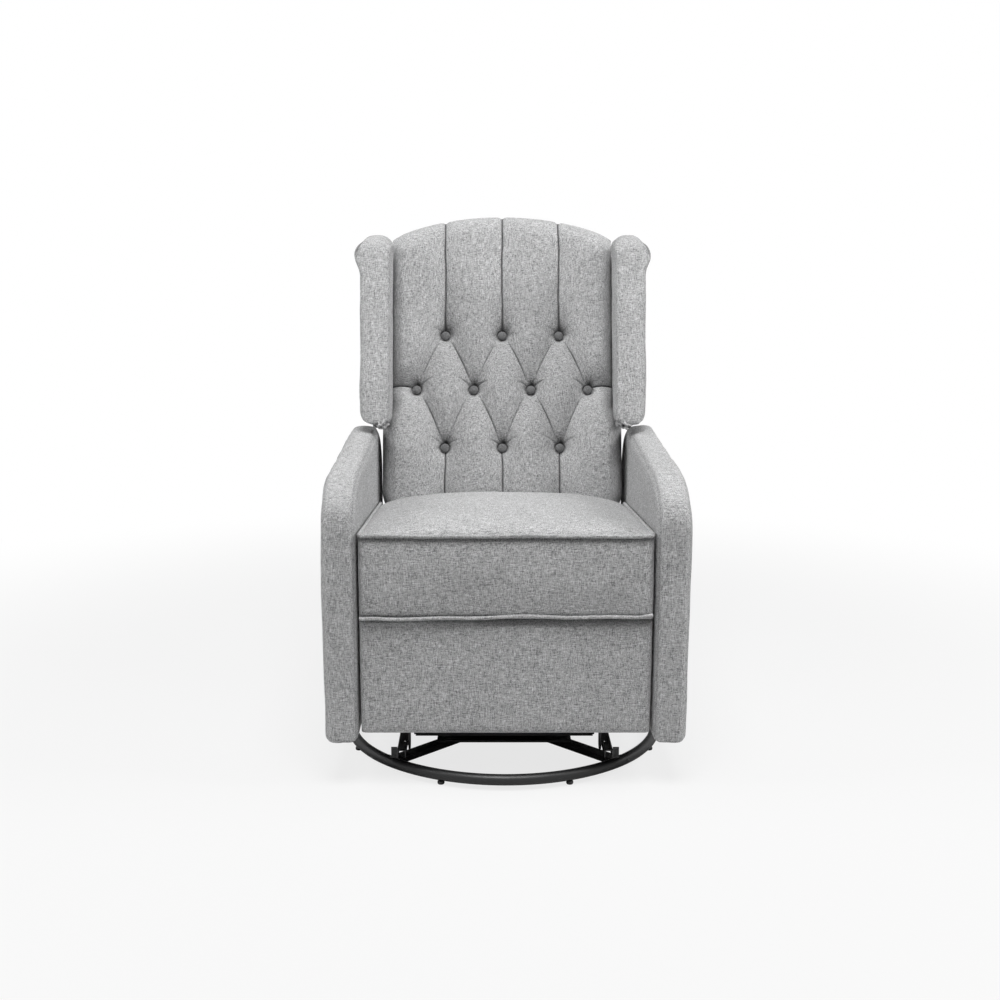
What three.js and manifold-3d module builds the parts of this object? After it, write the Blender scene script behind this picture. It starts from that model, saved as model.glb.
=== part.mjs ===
// A swivel glider recliner: tufted wing back, padded arms, boxed seat and a fold-out footrest, on a
// steel ring base. Millimetres, +Z up, the sitter faces -Y. Inside the model y runs back from the
// front of the arms; the last lines set the whole chair's footprint centre on the origin.
import * as THREE from 'three';
import { mergeVertices } from 'three/addons/utils/BufferGeometryUtils.js';
import Module from 'manifold-3d';

const wasm = await Module();
wasm.setup();

// Driving dimensions: upholstery
const overallWidth = 700;
const armThickness = 65;
const armLength = 680;
const armBottom = 91;
const armFrontTop = 606;
const armRearTop = 633;
const seatClearance = 3;
const seatFrontHeight = 501;
const seatRearHeight = 466;
const boxingHeight = 158;
const seatCrown = 38;
const backFootDepth = 532;
const backFootHeight = 453;
const backRecline = 15;
const backCrownRise = 696;
const shoulderRise = 640;
const cushionThickness = 100;
const backFrameThickness = 48;
const wingInset = 26.3;
const wingThickness = 67;
const wingReach = 108;
const wingBottomHeight = 652;
const wingTopRise = 626;

// Driving dimensions: steel base and glider
const swivelSetForward = 15;
const ringRadius = 330;
const ringTube = 22;
const glideHeight = 8;
const hubPlateSize = 280;
const swingLength = 112;
const swingEndInset = 130;
const lowPivotHeight = 48;
const railInnerX = 198;
const railWidth = 17;
const railHeight = 16;
const railBottom = 36;

// Driving dimensions: recline and footrest linkage
const reclineTravel = 35;
const footrestPanelTop = 333;
const footrestPanelBottom = 108;
const footrestPadThickness = 30;

// Sheet steel and fits shared by every piece
const steel = 3;
const fit = 0.3;
const sheetGap = 1;
const overrun = 5;
const pinRadius = 5;
const armInnerX = overallWidth / 2 - armThickness;
const seatHalfWidth = armInnerX - seatClearance;
const backHalfWidth = armInnerX - wingInset;
const swivelDepth = armLength / 2 - swivelSetForward;
const swingSpread = armLength / 2 - swingEndInset;

const RIGHT = 1;
const LEFT = -1;
const SIDES = [['left', LEFT], ['right', RIGHT]];
const degrees = Math.PI / 180;

const fabric = new THREE.MeshStandardMaterial({ color: 0xa9abad, roughness: 0.95 });
const buttonFabric = new THREE.MeshStandardMaterial({ color: 0x77797c, roughness: 0.95 });
const blackSteel = new THREE.MeshStandardMaterial({ color: 0x17181a, roughness: 0.45, metalness: 0.6 });
const linkSteel = new THREE.MeshStandardMaterial({ color: 0x2a2b2d, roughness: 0.4, metalness: 0.8 });
const plasticBlack = new THREE.MeshStandardMaterial({ color: 0x111112, roughness: 0.6 });
const timber = new THREE.MeshStandardMaterial({ color: 0xb08d62, roughness: 0.8 });

// Closed mesh to solid and back
function solidOf(geometry) {
  const bare = geometry.clone();
  bare.deleteAttribute('normal');
  bare.deleteAttribute('uv');
  const merged = mergeVertices(bare, 1e-4);
  return new wasm.Manifold(new wasm.Mesh({
    numProp: 3,
    vertProperties: merged.attributes.position.array,
    triVerts: new Uint32Array(merged.index.array),
  }));
}

function geometryOf(solid) {
  const mesh = solid.getMesh();
  const geometry = new THREE.BufferGeometry();
  geometry.setAttribute('position', new THREE.BufferAttribute(new Float32Array(mesh.vertProperties), 3));
  geometry.setIndex(new THREE.BufferAttribute(new Uint32Array(mesh.triVerts), 1));
  return geometry;
}

function join(...geometries) {
  return geometryOf(geometries.map(solidOf).reduce((whole, next) => whole.add(next)));
}

function cut(body, ...tools) {
  return geometryOf(tools.map(solidOf).reduce((whole, next) => whole.subtract(next), solidOf(body)));
}

function piece(name, geometry, material) {
  const faces = geometry.clone();
  faces.deleteAttribute('normal');
  const mesh = new THREE.Mesh(faces, material);
  mesh.name = name;
  return mesh;
}

function block(x, y, z) {
  const [[x0, x1], [y0, y1], [z0, z1]] = [x, y, z];
  const box = new THREE.BoxGeometry(x1 - x0, y1 - y0, z1 - z0);
  return box.translate((x0 + x1) / 2, (y0 + y1) / 2, (z0 + z1) / 2);
}

// A range across one side of the chair, from the inner to the outer distance, on either hand
function across(side, inner, outer) {
  return side > 0 ? [inner, outer] : [-outer, -inner];
}

// Outline drawn in (y, z), thickened across the chair between two x values
const SIDE_VIEW = new THREE.Matrix4().makeBasis(
  new THREE.Vector3(0, 1, 0), new THREE.Vector3(0, 0, 1), new THREE.Vector3(1, 0, 0));

function sidePlate(shape, [x0, x1], curveSegments = 6) {
  const plate = new THREE.ExtrudeGeometry(shape, { depth: x1 - x0, bevelEnabled: false, curveSegments });
  return plate.applyMatrix4(SIDE_VIEW).translate(x0, 0, 0);
}

function polygon(points) {
  return new THREE.Shape(points.map(([a, b]) => new THREE.Vector2(a, b)));
}

// Polygon whose corners are rounded by one radius
function rounded(points, radius) {
  const shape = new THREE.Shape();
  const corners = points.map(([a, b]) => new THREE.Vector2(a, b));
  corners.forEach((corner, i) => {
    const before = corners[(i + corners.length - 1) % corners.length];
    const after = corners[(i + 1) % corners.length];
    const reach = Math.min(radius, corner.distanceTo(before) / 2, corner.distanceTo(after) / 2);
    const start = corner.clone().add(before.clone().sub(corner).setLength(reach));
    const end = corner.clone().add(after.clone().sub(corner).setLength(reach));
    if (i === 0) shape.moveTo(start.x, start.y);
    else shape.lineTo(start.x, start.y);
    shape.quadraticCurveTo(corner.x, corner.y, end.x, end.y);
  });
  return shape;
}

// Flat link with a round end about each of two pivots
function linkOutline([ay, az], [by, bz], radius) {
  const along = Math.atan2(bz - az, by - ay);
  const shape = new THREE.Shape();
  shape.absarc(by, bz, radius, along - Math.PI / 2, along + Math.PI / 2, false);
  shape.absarc(ay, az, radius, along + Math.PI / 2, along + 1.5 * Math.PI, false);
  return shape;
}

// Round pin lying across the chair
function crossPin([y, z], radius, [x0, x1], sides = 12) {
  const pin = new THREE.CylinderGeometry(radius, radius, x1 - x0, sides);
  return pin.rotateZ(Math.PI / 2).translate((x0 + x1) / 2, y, z);
}

// Turned piece about the vertical; the profile holds [radius, height] pairs
function turned(profile, sides) {
  const lathe = new THREE.LatheGeometry(profile.map(([r, h]) => new THREE.Vector2(r, h)), sides);
  return lathe.rotateX(Math.PI / 2);
}

// Triangles that close a ring: spokes to an added middle point
function fanned(ring) {
  const middle = ring.reduce((sum, p) => sum.add(p), new THREE.Vector3()).divideScalar(ring.length);
  return { middle, triangles: ring.map((_, i) => [ring.length, i, (i + 1) % ring.length]) };
}

// Triangles that close a ring whose first points run along the front and the rest return behind
function zipped(ring, frontCount) {
  const triangles = [];
  let [i, j] = [0, ring.length - 1];
  while (i < frontCount - 1 || j > frontCount) {
    const frontNext = i < frontCount - 1 ? ring[i + 1].x : Infinity;
    const rearNext = j > frontCount ? ring[j - 1].x : Infinity;
    if (frontNext <= rearNext) {
      triangles.push([i, i + 1, j]);
      i += 1;
    } else {
      triangles.push([i, j - 1, j]);
      j -= 1;
    }
  }
  return { triangles };
}

// Closed skin through rings of equally many points
function loft(rings, closed = fanned) {
  const count = rings[0].length;
  const points = rings.flat();
  const index = [];
  for (let r = 0; r < rings.length - 1; r += 1) {
    for (let i = 0; i < count; i += 1) {
      const j = (i + 1) % count;
      const [a, b] = [r * count + i, r * count + j];
      const [c, d] = [a + count, b + count];
      index.push(a, b, d, a, d, c);
    }
  }
  [0, rings.length - 1].forEach((r) => {
    const { middle, triangles } = closed(rings[r]);
    const start = r * count;
    const numbers = [...Array.from({ length: count }, (_, i) => start + i), points.length];
    if (middle) points.push(middle);
    triangles.forEach((corners) => {
      const [a, b, c] = corners.map((n) => numbers[n]);
      index.push(...(r === 0 ? [a, c, b] : [a, b, c]));
    });
  });
  const geometry = new THREE.BufferGeometry().setFromPoints(points);
  geometry.setIndex(index);
  return facingOut(geometry);
}

// Turns a closed skin right side out
function facingOut(geometry) {
  const { array } = geometry.attributes.position;
  const { array: index } = geometry.index;
  const corner = (n) => new THREE.Vector3().fromArray(array, 3 * n);
  let volume = 0;
  for (let i = 0; i < index.length; i += 3) {
    const [a, b, c] = [corner(index[i]), corner(index[i + 1]), corner(index[i + 2])];
    volume += a.dot(b.cross(c));
  }
  if (volume < 0) {
    for (let i = 0; i < index.length; i += 3) {
      [index[i], index[i + 1]] = [index[i + 1], index[i]];
    }
  }
  return geometry;
}

// Ring base: a round steel tube rolled into a circle, standing on eight glides
const ringHeight = glideHeight + ringTube / 2;
const ringSegments = 64;
const ringSides = 12;
const glideCount = 8;
const glideRadius = 7.5;
const glideFoot = 5;
const glideShares = [0.4, 0.8];

function baseRing() {
  const facet = ringTube / 2 / Math.cos(Math.PI / ringSides);
  const profile = [];
  for (let i = 0; i <= ringSides; i += 1) {
    const angle = ((i % ringSides) + 0.5) * 2 * Math.PI / ringSides;
    profile.push([ringRadius + facet * Math.cos(angle), ringHeight + facet * Math.sin(angle)]);
  }
  return turned(profile, ringSegments);
}

function glide(turn) {
  const top = glideHeight - fit;
  const rim = glideShares.map((share) => [glideRadius, top * share]);
  const dome = [[0, 0], [glideFoot, 0], ...rim, [glideFoot, top], [0, top]];
  return turned(dome, 10).translate(ringRadius * Math.cos(turn), ringRadius * Math.sin(turn), 0);
}

// Base cross: two crossed rectangular tubes welded under a square plate
const armTubeWidth = 26;
const armTubeHeight = 12;
const tubeWall = 2;
const crossLift = 2;
const armTubeBottom = glideHeight + crossLift;
const armTubeTop = armTubeBottom + armTubeHeight;
const hubPlateThickness = 4;
const hubPlateTop = armTubeTop + hubPlateThickness;
const weld = 0.5;
const boltRadius = 8;

function boltBore(top) {
  const radius = boltRadius + fit;
  return turned([[0, 0], [radius, 0], [radius, top], [0, top]], 16);
}

function baseCross() {
  const inner = (ringRadius - ringTube / 2) * Math.cos(Math.PI / ringSegments);
  const reach = Math.sqrt(inner * inner - armTubeWidth * armTubeWidth / 4) - fit;
  const half = hubPlateSize / 2;
  const tube = (inset, length, turn) => block(
    [-length, length],
    [inset - armTubeWidth / 2, armTubeWidth / 2 - inset],
    [armTubeBottom + inset, armTubeTop - inset]).rotateZ(turn);
  const turns = [Math.PI / 4, -Math.PI / 4];
  const plate = block([-half, half], [-half, half], [armTubeTop - weld, hubPlateTop]);
  const body = join(...turns.map((turn) => tube(0, reach, turn)));
  const hollow = cut(body, ...turns.map((turn) => tube(tubeWall, reach + overrun, turn)));
  return cut(join(hollow, plate), boltBore(hubPlateTop + overrun));
}

// Swivel bearing: a turned lower race on the plate, a centre bolt, and the turning frame above
const raceRadius = 95;
const raceHeight = 6;
const raceBoreShare = 0.7;
const raceBottom = hubPlateTop + fit;
const raceTop = raceBottom + raceHeight;
const turnPlateSize = 220;
const turnPlateThickness = 4;
const turnPlateBottom = raceTop + fit;
const turnPlateTop = turnPlateBottom + turnPlateThickness;
const beamOffset = 120;
const beamWidth = 40;
const beamHeight = 25;
const beamTop = turnPlateTop + beamHeight;
const boltHeadHeight = 7;
const boltHeadRadius = 14;

function lowerRace() {
  const groove = raceHeight / 2;
  const inner = raceRadius * raceBoreShare;
  const mid = (raceRadius + inner) / 2;
  return turned([
    [inner, raceBottom], [raceRadius, raceBottom], [raceRadius, raceTop], [mid + groove, raceTop],
    [mid, raceTop - groove], [mid - groove, raceTop], [inner, raceTop], [inner, raceBottom]], 32);
}

function swivelBolt() {
  const under = armTubeTop - armTubeHeight + tubeWall + fit;
  const over = turnPlateTop + fit;
  return turned([
    [0, under], [boltRadius, under], [boltRadius, over], [boltHeadRadius, over],
    [boltHeadRadius, over + boltHeadHeight], [0, over + boltHeadHeight]], 12);
}

// Glider towers: a steel side frame on each end of the two cross beams, with a pivot hole at each end
const highPivotHeight = lowPivotHeight + swingLength;
const linkHalfWidth = 13;
const linkThickness = 4;
const towerBarDepth = 42;
const towerLipWidth = 14;
const plateCornerShare = 0.8;
const linkOuterX = railInnerX - steel;
const linkInnerX = linkOuterX - linkThickness;
const towerOuterX = linkInnerX - steel;
const towerInnerX = towerOuterX - steel;

function swivelFrame() {
  const half = turnPlateSize / 2;
  const plate = block([-half, half], [-half, half], [turnPlateBottom, turnPlateTop]);
  const beamEnd = towerInnerX - fit;
  const beams = [-beamOffset, beamOffset].map((y) => {
    const outside = block(
      [-beamEnd, beamEnd], [y - beamWidth / 2, y + beamWidth / 2], [turnPlateTop - weld, beamTop]);
    const inside = block(
      [-beamEnd - overrun, beamEnd + overrun],
      [y - beamWidth / 2 + tubeWall, y + beamWidth / 2 - tubeWall],
      [turnPlateTop + tubeWall, beamTop - tubeWall]);
    return cut(outside, inside);
  });
  return cut(join(plate, ...beams), boltBore(beamTop + overrun));
}

function gliderTower(side) {
  const end = swingSpread + linkHalfWidth;
  const top = highPivotHeight + linkHalfWidth;
  const barBottom = top - towerBarDepth;
  const legOut = beamOffset + beamWidth / 2;
  const legIn = beamOffset - beamWidth / 2;
  const frame = rounded([
    [-end, top], [-end, barBottom], [-legOut, barBottom - towerBarDepth / 2], [-legOut, turnPlateTop],
    [-legIn, turnPlateTop], [-legIn, barBottom - towerBarDepth / 4], [legIn, barBottom - towerBarDepth / 4],
    [legIn, turnPlateTop], [legOut, turnPlateTop], [legOut, barBottom - towerBarDepth / 2], [end, barBottom],
    [end, top]], linkHalfWidth * plateCornerShare);
  const plate = sidePlate(frame, across(side, towerInnerX, towerOuterX));
  const lip = block(
    across(side, towerInnerX - towerLipWidth, towerInnerX + weld),
    [-swingSpread, swingSpread], [top - steel, top]);
  const holes = [-swingSpread, swingSpread].map((y) => crossPin(
    [y, highPivotHeight], pinRadius + fit, across(side, towerInnerX - overrun, towerOuterX + overrun)));
  return cut(join(plate, lip), ...holes);
}

// Swing link: hangs the moving chair from the tower; its pins turn in the tower and in the rail
function swingLink(side, y) {
  const high = [y, highPivotHeight];
  const low = [y, lowPivotHeight];
  return join(
    sidePlate(linkOutline(low, high, linkHalfWidth), across(side, linkInnerX, linkOuterX), 5),
    crossPin(high, pinRadius, across(side, towerInnerX - fit, linkInnerX + weld)),
    crossPin(low, pinRadius, across(side, linkOuterX - weld, railInnerX + steel + fit)));
}

// Carriage rail: a channel that hangs in the links, with two bent brackets up to the side plate
const railWall = 2;
const railOverhang = 50;
const railLugShare = 0.35;
const railRivetShares = [0.25, 1];
const bracketWidth = 40;
const bracketOffset = 95;
const sidePlateBottom = 107;
const carriagePivotHeight = 222;
const carriagePivotFront = -115;
const carriagePivotRear = 145;
const lugHeight = 39;
const lugFlare = 13;
const sidePlateOuterX = armInnerX - fit;
const layerPitch = steel + sheetGap;

// Sheet layers counted inwards from the arm: 0 is the carriage side plate
function layer(side, number) {
  const outer = sidePlateOuterX - number * layerPitch;
  return across(side, outer - steel, outer);
}

function carriageRail(side) {
  const end = swingSpread + railOverhang;
  const outerX = railInnerX + railWidth;
  const top = railBottom + railHeight;
  const body = block(across(side, railInnerX, outerX), [-end, end], [railBottom, top]);
  const groove = block(
    across(side, railInnerX + railWall, outerX - railWall),
    [-end - overrun, end + overrun], [railBottom - overrun, top - railWall]);
  const channel = cut(body, groove);
  const lugRadius = railWidth * railLugShare;
  const lug = block(
    across(side, outerX - weld, outerX + 2 * lugRadius),
    [-end, steel - end], [railBottom, top + lugRadius]);
  const rivets = railRivetShares.map((share) => {
    const head = new THREE.CylinderGeometry(railWall, railWall, railWall, 8);
    const height = railBottom + railHeight * share;
    return head.translate(side * (outerX + lugRadius), -end - railWall / 2 + weld, height);
  });
  const legX = railInnerX + railWidth / 2;
  const brackets = [-bracketOffset, bracketOffset].flatMap((y) => {
    const width = [y - bracketWidth / 2, y + bracketWidth / 2];
    const bend = sidePlateBottom + steel;
    return [
      block(across(side, legX - steel / 2, legX + steel / 2), width, [top - weld, bend]),
      block(across(side, legX - steel / 2, sidePlateOuterX), width, [sidePlateBottom, bend]),
    ];
  });
  const wide = bracketOffset + bracketWidth;
  const lugTop = carriagePivotHeight + linkHalfWidth;
  const lugFoot = lugTop - lugHeight;
  const lugBase = linkHalfWidth + lugFlare;
  const plate = sidePlate(rounded([
    [-wide, sidePlateBottom], [wide, sidePlateBottom],
    [carriagePivotRear + linkHalfWidth, lugFoot], [carriagePivotRear + linkHalfWidth, lugTop],
    [carriagePivotRear - linkHalfWidth, lugTop], [carriagePivotRear - lugBase, lugFoot],
    [carriagePivotFront + lugBase, lugFoot], [carriagePivotFront + linkHalfWidth, lugTop],
    [carriagePivotFront - linkHalfWidth, lugTop], [carriagePivotFront - linkHalfWidth, lugFoot],
  ], linkHalfWidth), layer(side, 0));
  const pivotHoles = [-swingSpread, swingSpread].map((y) => crossPin(
    [y, lowPivotHeight], pinRadius + fit, across(side, railInnerX - overrun, railInnerX + overrun)));
  const seatHoles = [carriagePivotFront, carriagePivotRear]
    .map((y) => layerHole(side, [y, carriagePivotHeight], 0));
  return cut(join(channel, lug, ...rivets, ...brackets, plate), ...pivotHoles, ...seatHoles);
}

// Padded arm: a timber frame under foam and fabric, with a swept front and rounded edges
const armEdge = 12;
const armFrontRise = 84;
const armFrontRun = 140;
const armRearRadius = 112;
const armSweepShare = 0.42;
const armFallShare = 0.04;

function paddedSide(shape, [x0, x1], edge, curveSegments) {
  const body = new THREE.ExtrudeGeometry(shape, {
    depth: x1 - x0 - 2 * edge,
    bevelThickness: edge,
    bevelSize: edge,
    bevelOffset: -edge,
    bevelSegments: 4,
    curveSegments,
  });
  return body.applyMatrix4(SIDE_VIEW).translate(x0 + edge, 0, 0);
}

function arm(side) {
  const shape = new THREE.Shape();
  shape.moveTo(0, armBottom);
  shape.lineTo(armLength, armBottom);
  shape.lineTo(armLength, armRearTop - armRearRadius);
  shape.absarc(armLength - armRearRadius, armRearTop - armRearRadius, armRearRadius, 0, Math.PI / 2, false);
  shape.lineTo(armFrontRun, armFrontTop);
  shape.bezierCurveTo(
    armFrontRun * armSweepShare, armFrontTop - armFrontRise * armFallShare,
    0, armFrontTop - armFrontRise * armSweepShare,
    0, armFrontTop - armFrontRise);
  return paddedSide(shape, across(side, armInnerX, overallWidth / 2), armEdge, 9);
}

// Rear panel and cross tube: they tie the two arms and side plates together
const rearPanelThickness = 24;
const rearPanelInset = 22;
const rearPanelTop = 300;
const crossTubeRadius = 11;
const crossTubeHeight = 188;
const crossTubeDepth = -62;

function rearPanel() {
  const reach = armInnerX - fit;
  const rear = armLength - rearPanelInset;
  return block([-reach, reach], [rear - rearPanelThickness, rear], [armBottom + steel, rearPanelTop]);
}

function crossTube() {
  const reach = sidePlateOuterX - steel - fit;
  const centre = [crossTubeDepth, crossTubeHeight];
  const outside = crossPin(centre, crossTubeRadius, [-reach, reach]);
  return cut(outside, crossPin(centre, crossTubeRadius - tubeWall, [-reach - overrun, reach + overrun]));
}

// Seat links: four equal links that carry the seat plates on the side plates
const seatLinkLength = 70;
const seatLinkLean = 35;
const seatLinkHalfWidth = 10;
const seatPivotRise = seatLinkLength * Math.cos(seatLinkLean * degrees);
const seatPivotRun = seatLinkLength * Math.sin(seatLinkLean * degrees);
const seatPivots = [carriagePivotFront, carriagePivotRear].map(
  (y) => [swivelDepth + y + seatPivotRun, carriagePivotHeight + seatPivotRise]);

function seatLink(side, y) {
  const low = [swivelDepth + y, carriagePivotHeight];
  const high = [low[0] + seatPivotRun, low[1] + seatPivotRise];
  const [plateX0, plateX1] = layer(side, 1);
  const [outward, inward] = side > 0 ? [plateX1, plateX0] : [plateX0, plateX1];
  const reach = side * (layerPitch + fit / 2);
  const span = (a, b) => [Math.min(a, b), Math.max(a, b)];
  return join(
    sidePlate(linkOutline(low, high, seatLinkHalfWidth), [plateX0, plateX1], 5),
    crossPin(low, pinRadius, span(outward - side * weld, outward + reach)),
    crossPin(high, pinRadius, span(inward + side * weld, inward - reach)));
}

// Footrest linkage pivots, in depth and height, with the footrest shut
const drivePivot = [110, 290];
const controlPivot = [76.9, 239.1];
const panelPivot = [50, 250];
const driveLength = 160;
const frontLinkLength = 165;
const controlOffset = 50;
const stayOffset = 24;
const stayReach = 35;
const stayAngle = 170;
const linkRadius = 10;
const smallPin = 3.5;
const driveTubeRadius = 10;

// Where two arms of given lengths meet behind and below their far ends
function kneeBetween([ay, az], [by, bz], a, b) {
  const span = Math.hypot(by - ay, bz - az);
  const along = (a * a - b * b + span * span) / (2 * span);
  const off = Math.sqrt(a * a - along * along);
  const [ey, ez] = [(by - ay) / span, (bz - az) / span];
  return [ay + ey * along - ez * off, az + ez * along + ey * off];
}

// A point at a distance from one pivot, turned upwards and forwards from the line to another
function pointBy([y, z], [ty, tz], turn, length) {
  const angle = Math.atan2(tz - z, y - ty) + turn * degrees;
  return [y - length * Math.cos(angle), z + length * Math.sin(angle)];
}

const knee = kneeBetween(drivePivot, panelPivot, driveLength, frontLinkLength);
const controlEnd = pointBy(knee, panelPivot, -90, controlOffset);
const stayStart = pointBy(knee, drivePivot, 90, stayOffset);
const stayEnd = [
  panelPivot[0] - stayReach * Math.cos(stayAngle * degrees),
  panelPivot[1] + stayReach * Math.sin(stayAngle * degrees)];

function layerPin(side, point, radius, from, to) {
  const faces = [layer(side, from), layer(side, to)].flat().map(Math.abs);
  const [outer, inner] = [Math.max(...faces), Math.min(...faces)];
  return crossPin(point, radius, across(side, inner + fit / 2, outer - fit / 2));
}

function layerHole(side, point, number) {
  const [x0, x1] = layer(side, number);
  return crossPin(point, pinRadius + fit, [x0 - sheetGap, x1 + sheetGap]);
}

function driveLinks() {
  const arms = SIDES.map(([, side]) => {
    const plate = join(
      sidePlate(linkOutline(drivePivot, knee, linkRadius), layer(side, 5), 5),
      sidePlate(linkOutline(knee, stayStart, linkRadius - 1), layer(side, 5), 5),
      layerPin(side, drivePivot, pinRadius, 2, 5));
    return cut(plate, layerHole(side, knee, 5), layerHole(side, stayStart, 5));
  });
  const inner = layer(RIGHT, 5)[0];
  const tube = crossPin(drivePivot, driveTubeRadius, [-inner - weld, inner + weld]);
  return join(...arms, tube);
}

function frontLink(side) {
  return join(
    sidePlate(linkOutline(knee, panelPivot, linkRadius), layer(side, 6), 5),
    sidePlate(linkOutline(knee, controlEnd, linkRadius - 1), layer(side, 6), 5),
    layerPin(side, knee, pinRadius, 5, 6),
    layerPin(side, panelPivot, pinRadius, 5, 6),
    layerPin(side, controlEnd, smallPin, 3, 6));
}

function controlLink(side) {
  const plate = sidePlate(linkOutline(controlPivot, controlEnd, linkRadius), layer(side, 3), 5);
  const pinned = join(plate, layerPin(side, controlPivot, pinRadius, 2, 3));
  return cut(pinned, layerHole(side, controlEnd, 3));
}

function stayLink(side) {
  const plate = sidePlate(linkOutline(stayStart, stayEnd, linkRadius - 1), layer(side, 4), 5);
  const pinned = join(plate, layerPin(side, stayStart, pinRadius, 4, 5));
  return cut(pinned, layerHole(side, stayEnd, 4));
}

// Seat plates and deck: steel plates with a top flange, carrying a sprung timber frame
const deckThickness = 20;
const seatPlateTop = 316;
const seatPlateFront = 60;
const deckRear = 500;
const flangeWidth = 24;
const recline = backRecline * degrees;
const reclinePivot = [560, 400];
const lugReach = 18;
const rearLugShare = 1.4;
const undersideShare = 1.7;
const noseShare = 1.6;

function seatPlate(side) {
  const [backY, backZ] = reclinePivot;
  const rearLug = seatPivots[1][0] + rearLugShare * seatLinkHalfWidth;
  const underside = seatPivots[0][1] - undersideShare * seatLinkHalfWidth;
  const nose = controlPivot[1] - noseShare * linkRadius;
  const outline = rounded([
    [seatPlateFront, nose], [controlPivot[0] + 2 * linkRadius, nose], [seatPivots[0][0], underside],
    [rearLug, underside], [backY + lugReach, backZ - 2 * lugReach], [backY + lugReach, backZ + lugReach],
    [backY - lugReach, backZ + lugReach], [backY - 2 * lugReach, backZ - 2 * lugReach],
    [deckRear, seatPlateTop], [seatPlateFront, seatPlateTop]], lugReach);
  const [x0, x1] = layer(side, 2);
  const flange = block(
    side > 0 ? [x0 - flangeWidth, x1] : [x0, x1 + flangeWidth],
    [seatPlateFront + linkRadius, deckRear - linkRadius], [seatPlateTop - steel, seatPlateTop]);
  const holes = [drivePivot, controlPivot, ...seatPivots, reclinePivot]
    .map((point) => layerHole(side, point, 2));
  return cut(join(sidePlate(outline, [x0, x1]), flange), ...holes);
}

function frontPlate(shape, [y0, y1], edge = 0, curveSegments = 8) {
  const body = new THREE.ExtrudeGeometry(shape, {
    depth: y1 - y0 - 2 * edge,
    bevelEnabled: edge > 0,
    bevelThickness: edge,
    bevelSize: edge,
    bevelOffset: -edge,
    bevelSegments: 3,
    curveSegments,
  });
  return body.rotateX(Math.PI / 2).translate(0, y1 - edge, 0);
}

const deckFront = 44;
const deckRail = 45;
const springCount = 5;
const springWidth = 12;

function seatDeck() {
  const half = layer(RIGHT, 2)[0] - fit;
  const bottom = seatPlateTop + fit;
  const top = bottom + deckThickness;
  const open = [deckFront + deckRail, deckRear - deckRail];
  const frame = cut(
    block([-half, half], [deckFront, deckRear], [bottom, top]),
    block([deckRail - half, half - deckRail], open, [bottom - overrun, top + overrun]));
  const pitch = 2 * (half - deckRail) / springCount;
  const springs = Array.from({ length: springCount }, (_, i) => {
    const x = deckRail - half + pitch * (i + 0.5);
    return block(
      [x - springWidth / 2, x + springWidth / 2], [open[0] - weld, open[1] + weld], [top - steel, top]);
  });
  return join(frame, ...springs);
}

// Seat cushion: boxed foam with a piped welt above and below the front border and a crowned top
const weltRadius = 5;
const boxingBulge = 7;
const cushionFront = 2;
const cushionEdge = 12;
const cushionRearGap = 4;
const weltAngles = [-70, -25, 25, 70];
const borderShares = [0.12, 0.35, 0.65, 0.88];
const crownCount = 10;
const crownBackShare = 1.25;
const crownEdgeShares = [0.06, 0.79];
const crownFullShare = 0.7;
const swellPowerShare = 3;
const endShares = [[1, 1], [0.992, 0.333], [0.96, 0]];
const crossShares = [0.85, 0.68, 0.46, 0.23];

function backSurface(height) {
  return backFootDepth + (height - backFootHeight) * Math.tan(recline);
}

function seatCushion() {
  const bottom = seatPlateTop + fit + deckThickness + fit;
  const lowerWelt = seatFrontHeight - boxingHeight;
  const rearDepth = backSurface(seatRearHeight) - cushionRearGap;
  const rearFoot = backSurface(seatRearHeight - backCushionTail) - 2 * cushionRearGap;
  const profile = (x) => {
    const share = Math.abs(x) / seatHalfWidth;
    const swell = Math.max(0, 1 - share ** swellPowerShare);
    const points = [[deckFront, bottom], [cushionFront + weltRadius, bottom]];
    const welt = (z) => weltAngles.forEach((angle) => points.push([
      cushionFront - weltRadius / 2 - weltRadius * Math.cos(angle * degrees),
      z + weltRadius * Math.sin(angle * degrees)]));
    welt(lowerWelt);
    borderShares.forEach((t) => points.push(
      [cushionFront - boxingBulge * Math.sin(Math.PI * t) * swell, lowerWelt + boxingHeight * t]));
    welt(seatFrontHeight);
    const topFront = cushionFront + 2 * weltRadius;
    const [startShare, spanShare] = crownEdgeShares;
    for (let i = 0; i <= crownCount; i += 1) {
      const t = i / crownCount;
      const y = topFront + (rearDepth - topFront) * t ** crownBackShare;
      const line = seatFrontHeight + (seatRearHeight - seatFrontHeight) * t;
      const arch = Math.sin(Math.PI * Math.min(1, startShare + spanShare * t)) ** crownFullShare;
      points.push([y, line + seatCrown * swell * arch]);
    }
    points.push([rearFoot, seatRearHeight - backCushionTail / 2], [rearFoot, bottom]);
    return points;
  };
  const shares = [...endShares, ...crossShares.map((t) => [t, 0])];
  const stations = [...shares.map(([t, inset]) => [-t, inset]), [0, 0], ...shares.reverse()];
  const middle = [(rearDepth + cushionFront) / 2, (seatFrontHeight + bottom) / 2];
  const drawn = (value, centre, inset, run) => (
    value + inset * cushionEdge * Math.sign(centre - value) * Math.min(1, Math.abs(centre - value) / run));
  const rings = stations.map(([t, inset]) => {
    const x = t * seatHalfWidth;
    return profile(x).map(([y, z]) => new THREE.Vector3(
      x, drawn(y, middle[0], inset, 4 * cushionEdge), drawn(z, middle[1], inset, 2 * cushionEdge)));
  });
  return loft(rings);
}

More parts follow.
